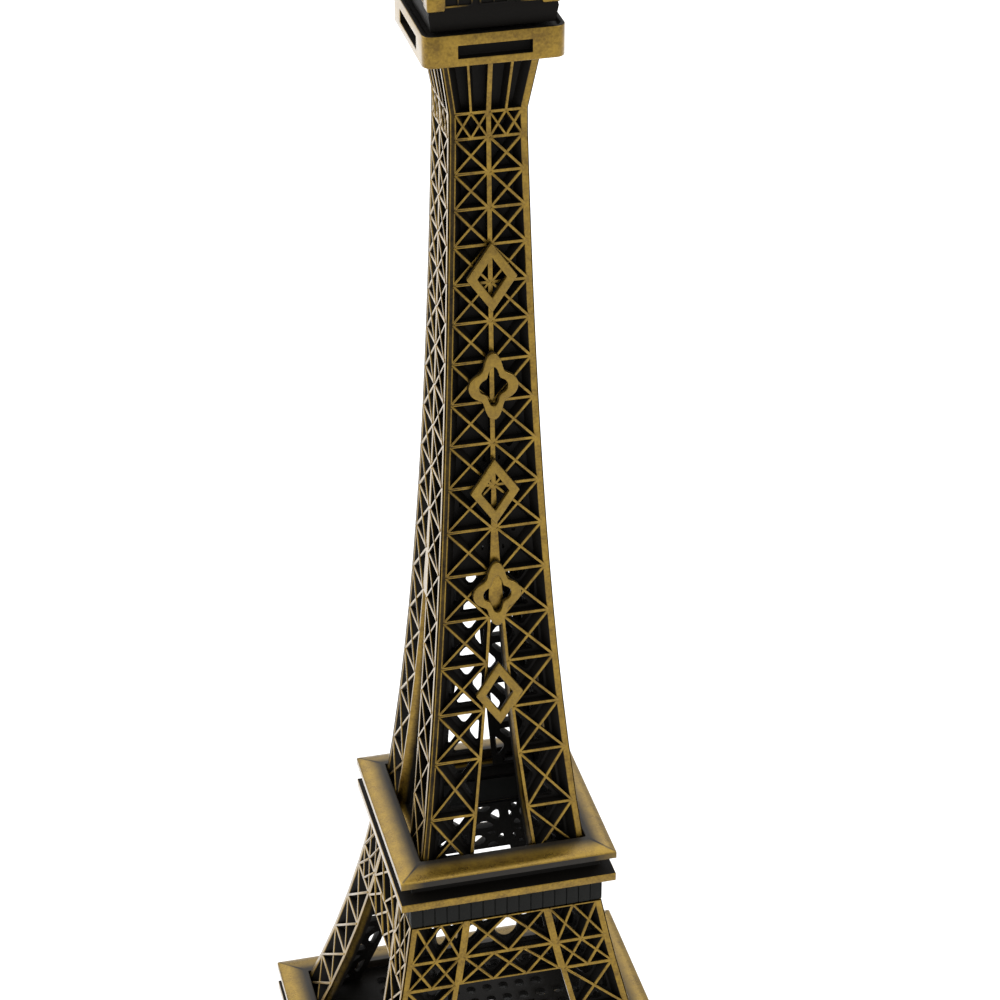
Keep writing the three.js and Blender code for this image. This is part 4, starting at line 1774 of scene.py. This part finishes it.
@dataclass
class TopWorks:
    """Third deck, cabin, roof, lantern, dome and mast."""

    gallery_corner: float = 1.8
    gallery_window: tuple[float, float] = (12.6, 2.3)
    neck_inset: float = 0.7
    neck_height: float = 3.4
    window: tuple[float, float] = (4.6, 2.4)
    window_pitch: float = 6.0
    post_width: float = 3.1
    arch_radius: float = 2.9
    arch_spring: float = 3.1
    arch_sill: float = 0.8

    def build(self) -> None:
        """Builds everything above the shaft."""
        self._gallery()
        self._cabin()
        self._roof()
        self._lantern()
        self._dome()
        self._mast()

    def _gallery(self) -> None:
        """Builds the third deck with its rounded corners and long windows."""
        half, base, top = extent("third_deck_gallery")
        bm = bmesh.new()
        block(bm, (2 * half, 2 * half, top - base), (0, 0, (base + top) / 2))
        upright = [e for e in bm.edges if abs(e.verts[0].co.z - e.verts[1].co.z) > 1]
        bevel(bm, upright, self.gallery_corner, 8)
        centre = base + 0.45 * (top - base)
        for face in side_faces(bm, centre):
            sink_window(bm, face, self.gallery_window, 1.6, centre)
        lid = max((f for f in bm.faces if f.normal.z > 0.9), key=lambda f: f.calc_area())
        bmesh.ops.inset_region(bm, faces=[lid], thickness=0.75, use_even_offset=True)
        bmesh.ops.inset_region(bm, faces=[lid], thickness=0.35, depth=-0.5, use_even_offset=True)
        soften(bm, 0.18, 3)

        straight = half - self.gallery_corner

        def rub(co: Vector) -> float:
            """Gives the wear at a place.

            Args:
                co: The place.

            Returns:
                The wear.
            """
            reach = straight + math.hypot(*(max(0.0, abs(v) - straight) for v in co.xy))
            lid = smooth(top - 0.05, top, co.z) * (square_reach(co) < half - 0.3)
            return min(smooth(half - 0.16, half - 0.02, reach), 1.0 - 0.8 * lid)

        mark_rub(bm, rub)
        place_piece(bm, "third_deck_casting", ["third_deck_gallery"])

    def _cabin(self) -> None:
        """Builds the cabin: flared neck, dark walls with windows, and bright corner posts."""
        half, base, top = extent("cabin")
        neck = base + self.neck_height
        wall = half - 0.35
        bm = square_turn([
            (0, base), (half - self.neck_inset, base), (half - 0.25, neck - 0.5), (wall, neck),
            (wall, top), (0, top),
        ])
        centre = (neck + top) / 2 + 0.1
        width, height = self.window
        frames = (
            (0.0, height / 2, width, 0.35), (0.0, -height / 2, width, 0.35),
            (-width / 2, 0.0, 0.35, height), (width / 2, 0.0, 0.35, height),
            (0.0, 0.0, 0.3, height),
        )
        post = half - self.post_width / 2
        for turn in QUARTERS:
            for u in (-self.window_pitch, 0.0, self.window_pitch):
                for aside, above, wide, tall in frames:
                    block(bm, (wide, 0.5, tall), (u + aside, -wall, centre + above), 0.08, turn)
            block(bm, (self.post_width, self.post_width, top - neck - 0.15),
                  (post, -post, (neck + top) / 2 + 0.05), 0.35, turn, 3)
            block(bm, (2 * half - 5.0, 0.8, 0.8), (0, -half + 0.45, top - 0.45), 0.15, turn)
        rim = rim_rub(half, 0.25, 0.02)

        def rub(co: Vector) -> float:
            """Gives the wear at a place.

            Args:
                co: The place.

            Returns:
                The wear.
            """
            trim = min(abs(co.x), abs(co.y)) > half - self.post_width - 0.2 or co.z > top - 0.9
            return rim(co) * smooth(neck - 0.3, neck + 0.3, co.z) * (1.0 if trim else 0.3)

        mark_rub(bm, rub)
        place_piece(bm, "cabin_casting", ["cabin"], Slot.DARK, CAST_BRASS)

    def _roof(self) -> None:
        """Builds the cabin's roof, with a raised fillet round its slope."""
        half, base, top = extent("cabin_roof")
        bm = square_turn([
            (0, base), (half, base), (half, base + 1.1), (half - 0.7, base + 1.2),
            (half - 0.9, base + 1.5), (half - 5.4, top), (0, top),
        ])
        soften(bm, 0.14, 3)
        mark_rub(bm, rim_rub(half, 1.5, 0.2, 0.35))
        place_piece(bm, "cabin_roof_casting", ["cabin_roof"])

    def _lantern(self) -> None:
        """Builds the lantern: four walls with round-headed openings, a floor and a ceiling."""
        half, base, top = extent("lantern")
        bm = bmesh.new()
        post = half - 0.7
        for turn in QUARTERS:
            place = Matrix.Rotation(turn, 4, "Z") @ Matrix.Translation((0, -half + 0.15, base))
            take_in(bm, self._arched_wall(2 * half - 1.0, top - base), place)
            block(bm, (1.4, 1.4, top - base), (post, -post, (base + top) / 2), 0.2, turn, 3)
        for z in (base + 0.35, top - 0.35):
            block(bm, (2 * half - 0.6, 2 * half - 0.6, 0.7), (0, 0, z), 0.12)
        mark_rub(bm, rim_rub(half, 0.7, 0.1, 0.15))
        place_piece(bm, "lantern_casting", ["lantern"])

    def _arched_wall(self, width: float, height: float) -> BMesh:
        """Draws a wall with a round-headed opening.

        Args:
            width: Width of the wall.
            height: Its height.

        Returns:
            The wall, facing the front, with its foot at 0.
        """
        bm = bmesh.new()
        for opening in (False, True):
            verts = bmesh.ops.create_circle(bm, segments=32, radius=1.0)["verts"]
            for vert in verts:
                angle = math.atan2(vert.co.y, vert.co.x)
                cosine, sine = math.cos(angle), math.sin(angle)
                box = 1.0 / max(abs(cosine), abs(sine))
                x, z = width / 2 * cosine * box, height / 2 * (1.0 + sine * box)
                if opening and sine < 0:
                    x = self.arch_radius * cosine * box
                    z = self.arch_spring + (self.arch_spring - self.arch_sill) * sine * box
                elif opening:
                    x = self.arch_radius * cosine
                    z = self.arch_spring + self.arch_radius * sine
                vert.co = (x, 0.0, z)
        bmesh.ops.bridge_loops(bm, edges=list(bm.edges))
        bmesh.ops.solidify(bm, geom=list(bm.faces), thickness=1.0)
        tidy(bm)
        soften(bm, 0.12, 2, 50.0)
        return bm

    def _dome(self) -> None:
        """Builds the dome with raised ribs and a rolled rim."""
        radius, base, top = extent("dome")
        rim = 0.8
        neck = math.acos(1.7 / radius)
        curve = [(radius * math.cos(a) - 0.25,
                  base + rim + (top - base - rim) * math.sin(a) / math.sin(neck))
                 for a in spaced(0.0, neck, 12)]
        bm = turned([(0, base), (radius - 0.2, base), (radius, base + 0.2),
                     (radius, base + rim - 0.2), (radius - 0.2, base + rim), *curve, (0, top)], 48)
        for vert in bm.verts:
            reach = vert.co.xy.length
            if vert.co.z > base + rim + 0.1 and reach > 1.0:
                ridge = max(0.0, math.cos(8 * math.atan2(vert.co.y, vert.co.x))) ** 8
                vert.co.xy = vert.co.xy * (1.0 + 0.18 * ridge / reach)
        mark_rub(bm, lambda co: 0.45 + 0.5 * smooth(base + 1.0, base, co.z)
                 + 0.3 * smooth(top - 1.5, top, co.z))
        place_piece(bm, "dome_casting", ["dome"], Slot.BRIGHT)

    def _mast(self) -> None:
        """Builds the mast: collar, stem, ring with a gallery of pins, and a pointed tip."""
        base, top = extent("mast")[1:]
        ring = base + 7.5
        profile = [
            (0, base), (1.7, base), (1.9, base + 0.2), (1.9, base + 0.7), (1.65, base + 0.95),
            (0.95, base + 1.4), (0.8, base + 2.0), (0.72, ring - 0.4), (1.0, ring),
            (1.45, ring + 0.3), (1.5, ring + 0.6), (1.45, ring + 0.9), (0.95, ring + 1.15),
            (0.66, ring + 1.6), (0.5, top - 2.2), (0.72, top - 1.6), (0.72, top - 1.1),
            (0.36, top - 0.5), (0, top),
        ]
        bm = turned(profile, 32)
        for index in range(8):
            turn = index * math.pi / 4
            block(bm, (0.22, 0.22, 1.1), (0, -1.22, ring + 1.25), 0.06, turn)
        bmesh.ops.create_icosphere(bm, subdivisions=3, radius=0.95,
                                   matrix=Matrix.Translation((0, 0, base + 4.2)))
        mark_rub(bm, lambda co: 0.55 + 0.45 * smooth(0.6, 1.4, co.xy.length))
        place_piece(bm, "mast_casting", ["mast"], Slot.BRIGHT)


# ---- feet and seams -------------------------------------------------------------------


@dataclass
class Feet:
    """Four foot blocks with stepped plinths and sunk panels."""

    chamfer: float = 1.0
    panel_depth: float = 0.45

    def build(self) -> None:
        """Builds a block under each leg."""
        for corner in ("front_left", "front_right", "back_right", "back_left"):
            node = f"foot_{corner}"
            low, high = cad_box(node)
            centre = (low + high) / 2
            half, top = (high.x - low.x) / 2, high.z
            bm = square_turn([
                (0, 0), (half, 0), (half, 1.4), (half - 0.45, 1.75),
                (half - 0.45, top - self.chamfer), (half - self.chamfer, top), (0, top),
            ])
            for face in side_faces(bm, top / 2):
                sink_window(bm, face, (2 * half - 5.0, 1.9), self.panel_depth, top / 2 + 0.35)
            soften(bm, 0.15, 3)
            mark_rub(bm, rim_rub(half, 0.95, 0.4, 0.15))
            bmesh.ops.translate(bm, verts=bm.verts, vec=(centre.x, centre.y, 0))
            place_piece(bm, f"{node}_block", [node])


@dataclass
class SolderSeams:
    """Uneven beads of solder in the mitred corners between the faces."""

    width: float = 0.5
    wander: float = 0.12
    step: float = 0.9

    def build(self) -> None:
        """Builds the beads of the legs and of the shaft."""
        stages = (
            ("lower", OUTLINE.leg_foot, OUTLINE.leg_top, OUTLINE.lower_half),
            ("mid", OUTLINE.mid_foot, OUTLINE.mid_top, OUTLINE.mid_half),
            ("shaft", OUTLINE.shaft_foot, OUTLINE.shaft_top, OUTLINE.shaft_half),
        )
        for name, low, high, half in stages:
            bm = bmesh.new()
            for side in range(4):
                self._bead(bm, low + 0.1, high - 0.1, half, side)
            mark_rub(bm, lambda co: 0.25 + 0.9 * noise.noise(co * 0.8))
            place_piece(bm, f"{name}_solder_seams", [], sharp=80.0)

    def _bead(self, bm: BMesh, low: float, high: float, half: Line, side: int) -> None:
        """Adds one bead along a corner of the tower.

        Args:
            bm: Mesh to add it to.
            low: Height of its foot.
            high: Height of its top.
            half: Half width of the tower at a height.
            side: Number of the corner, from 0 to 3.
        """
        bead = bmesh.new()
        bmesh.ops.create_cone(bead, cap_ends=True, segments=6, radius1=self.width / 2,
                              radius2=self.width / 2, depth=1.0)
        upright = [e for e in bead.edges if abs(e.verts[0].co.z - e.verts[1].co.z) > 0.5]
        bmesh.ops.subdivide_edges(bead, edges=upright, cuts=int((high - low) / self.step),
                                  use_grid_fill=True)
        for vert in bead.verts:
            z = blend(low, high, vert.co.z + 0.5)
            reach = half(z) - 0.5 - self.width / 4
            sway = noise.noise_vector(Vector((side * 9.0, z * 0.9, vert.co.x * 3.0))) * self.wander
            vert.co = (reach + vert.co.x + sway.x, -reach + vert.co.y + sway.y, z)
        take_in(bm, bead, Matrix.Rotation(QUARTERS[side], 4, "Z"))


# ---- studio ---------------------------------------------------------------------------


@dataclass
class Studio:
    """Pale floor, soft light and the camera."""

    floor_size: float = 12.0
    world: float = 0.85
    lens: float = 106.3
    sensor: float = 36.0
    target: tuple[float, float, float] = (1.69, -7.23, 187.92)
    distance: float = 532.5
    azimuth: float = -13.80
    elevation: float = 30.85
    roll: float = -0.16

    def build(self) -> None:
        """Sets up the floor, the lights and the camera."""
        self._floor()
        self._light()
        self._camera()

    def _floor(self) -> None:
        """Lays the floor just under the feet."""
        bm = bmesh.new()
        bmesh.ops.create_circle(bm, cap_ends=True, segments=96, radius=self.floor_size / 2)
        mesh = bpy.data.meshes.new("studio_floor")
        bm.to_mesh(mesh)
        bm.free()
        mesh.materials.append(PaleSweep().material())
        floor = bpy.data.objects.new("studio_floor", mesh)
        bpy.context.scene.collection.objects.link(floor)

    def _light(self) -> None:
        """Adds the even surround and the soft boxes."""
        scene = bpy.context.scene
        scene.view_settings.view_transform = "Standard"
        scene.world = bpy.data.worlds.new("soft_surround")
        scene.world.use_nodes = True
        surround = scene.world.node_tree.nodes["Background"]
        surround.inputs["Color"].default_value = (1.0, 1.0, 1.0, 1.0)
        surround.inputs["Strength"].default_value = self.world
        boxes = (
            ("left_box", (-1.3, 0.5, 0.8), (0.0, 0.0, 0.1), 1.2, 12.0),
            ("right_box", (1.1, -1.0, 0.9), (0.0, 0.0, 0.1), 0.5, 5.0),
            ("back_box", (0.0, 1.0, 1.9), (0.0, 0.6, 0.1), 3.0, 42.0),
        )
        for name, place, aim, size, power in boxes:
            light = bpy.data.lights.new(name, "AREA")
            light.shape = "SQUARE"
            light.size = size
            light.energy = power
            lamp = bpy.data.objects.new(name, light)
            lamp.location = place
            look = Vector(aim) - Vector(place)
            lamp.rotation_euler = look.to_track_quat("-Z", "Y").to_euler()
            scene.collection.objects.link(lamp)

    def _camera(self) -> None:
        """Sets the camera at the front left, looking down."""
        turn, rise = math.radians(self.azimuth), math.radians(self.elevation)
        back = Vector((math.sin(turn) * math.cos(rise), -math.cos(turn) * math.cos(rise),
                       math.sin(rise)))
        data = bpy.data.cameras.new("view")
        data.lens = self.lens
        data.sensor_width = self.sensor
        data.clip_start = 0.02
        camera = bpy.data.objects.new("view", data)
        place = (Vector(self.target) + back * self.distance) * MM
        look = (-back).to_track_quat("-Z", "Y").to_matrix().to_4x4()
        tip = Matrix.Rotation(math.radians(self.roll), 4, "Z")
        camera.matrix_world = Matrix.Translation(place) @ look @ tip
        bpy.context.scene.collection.objects.link(camera)
        bpy.context.scene.camera = camera


def main() -> None:
    """Builds the studio and every piece of the tower."""
    logging.basicConfig(level=logging.INFO, format="%(name)s: %(message)s")
    Studio().build()
    Feet().build()
    LowerLegs().build()
    Arches().build()
    MidLegs().build()
    Deck("first_deck", 30, OUTLINE.mid_half, holes=True).build()
    Deck("second_deck", 16, OUTLINE.shaft_half).build()
    Shaft().build()
    Ornaments().build()
    TopWorks().build()
    SolderSeams().build()


if __name__ == "__main__":
    main()
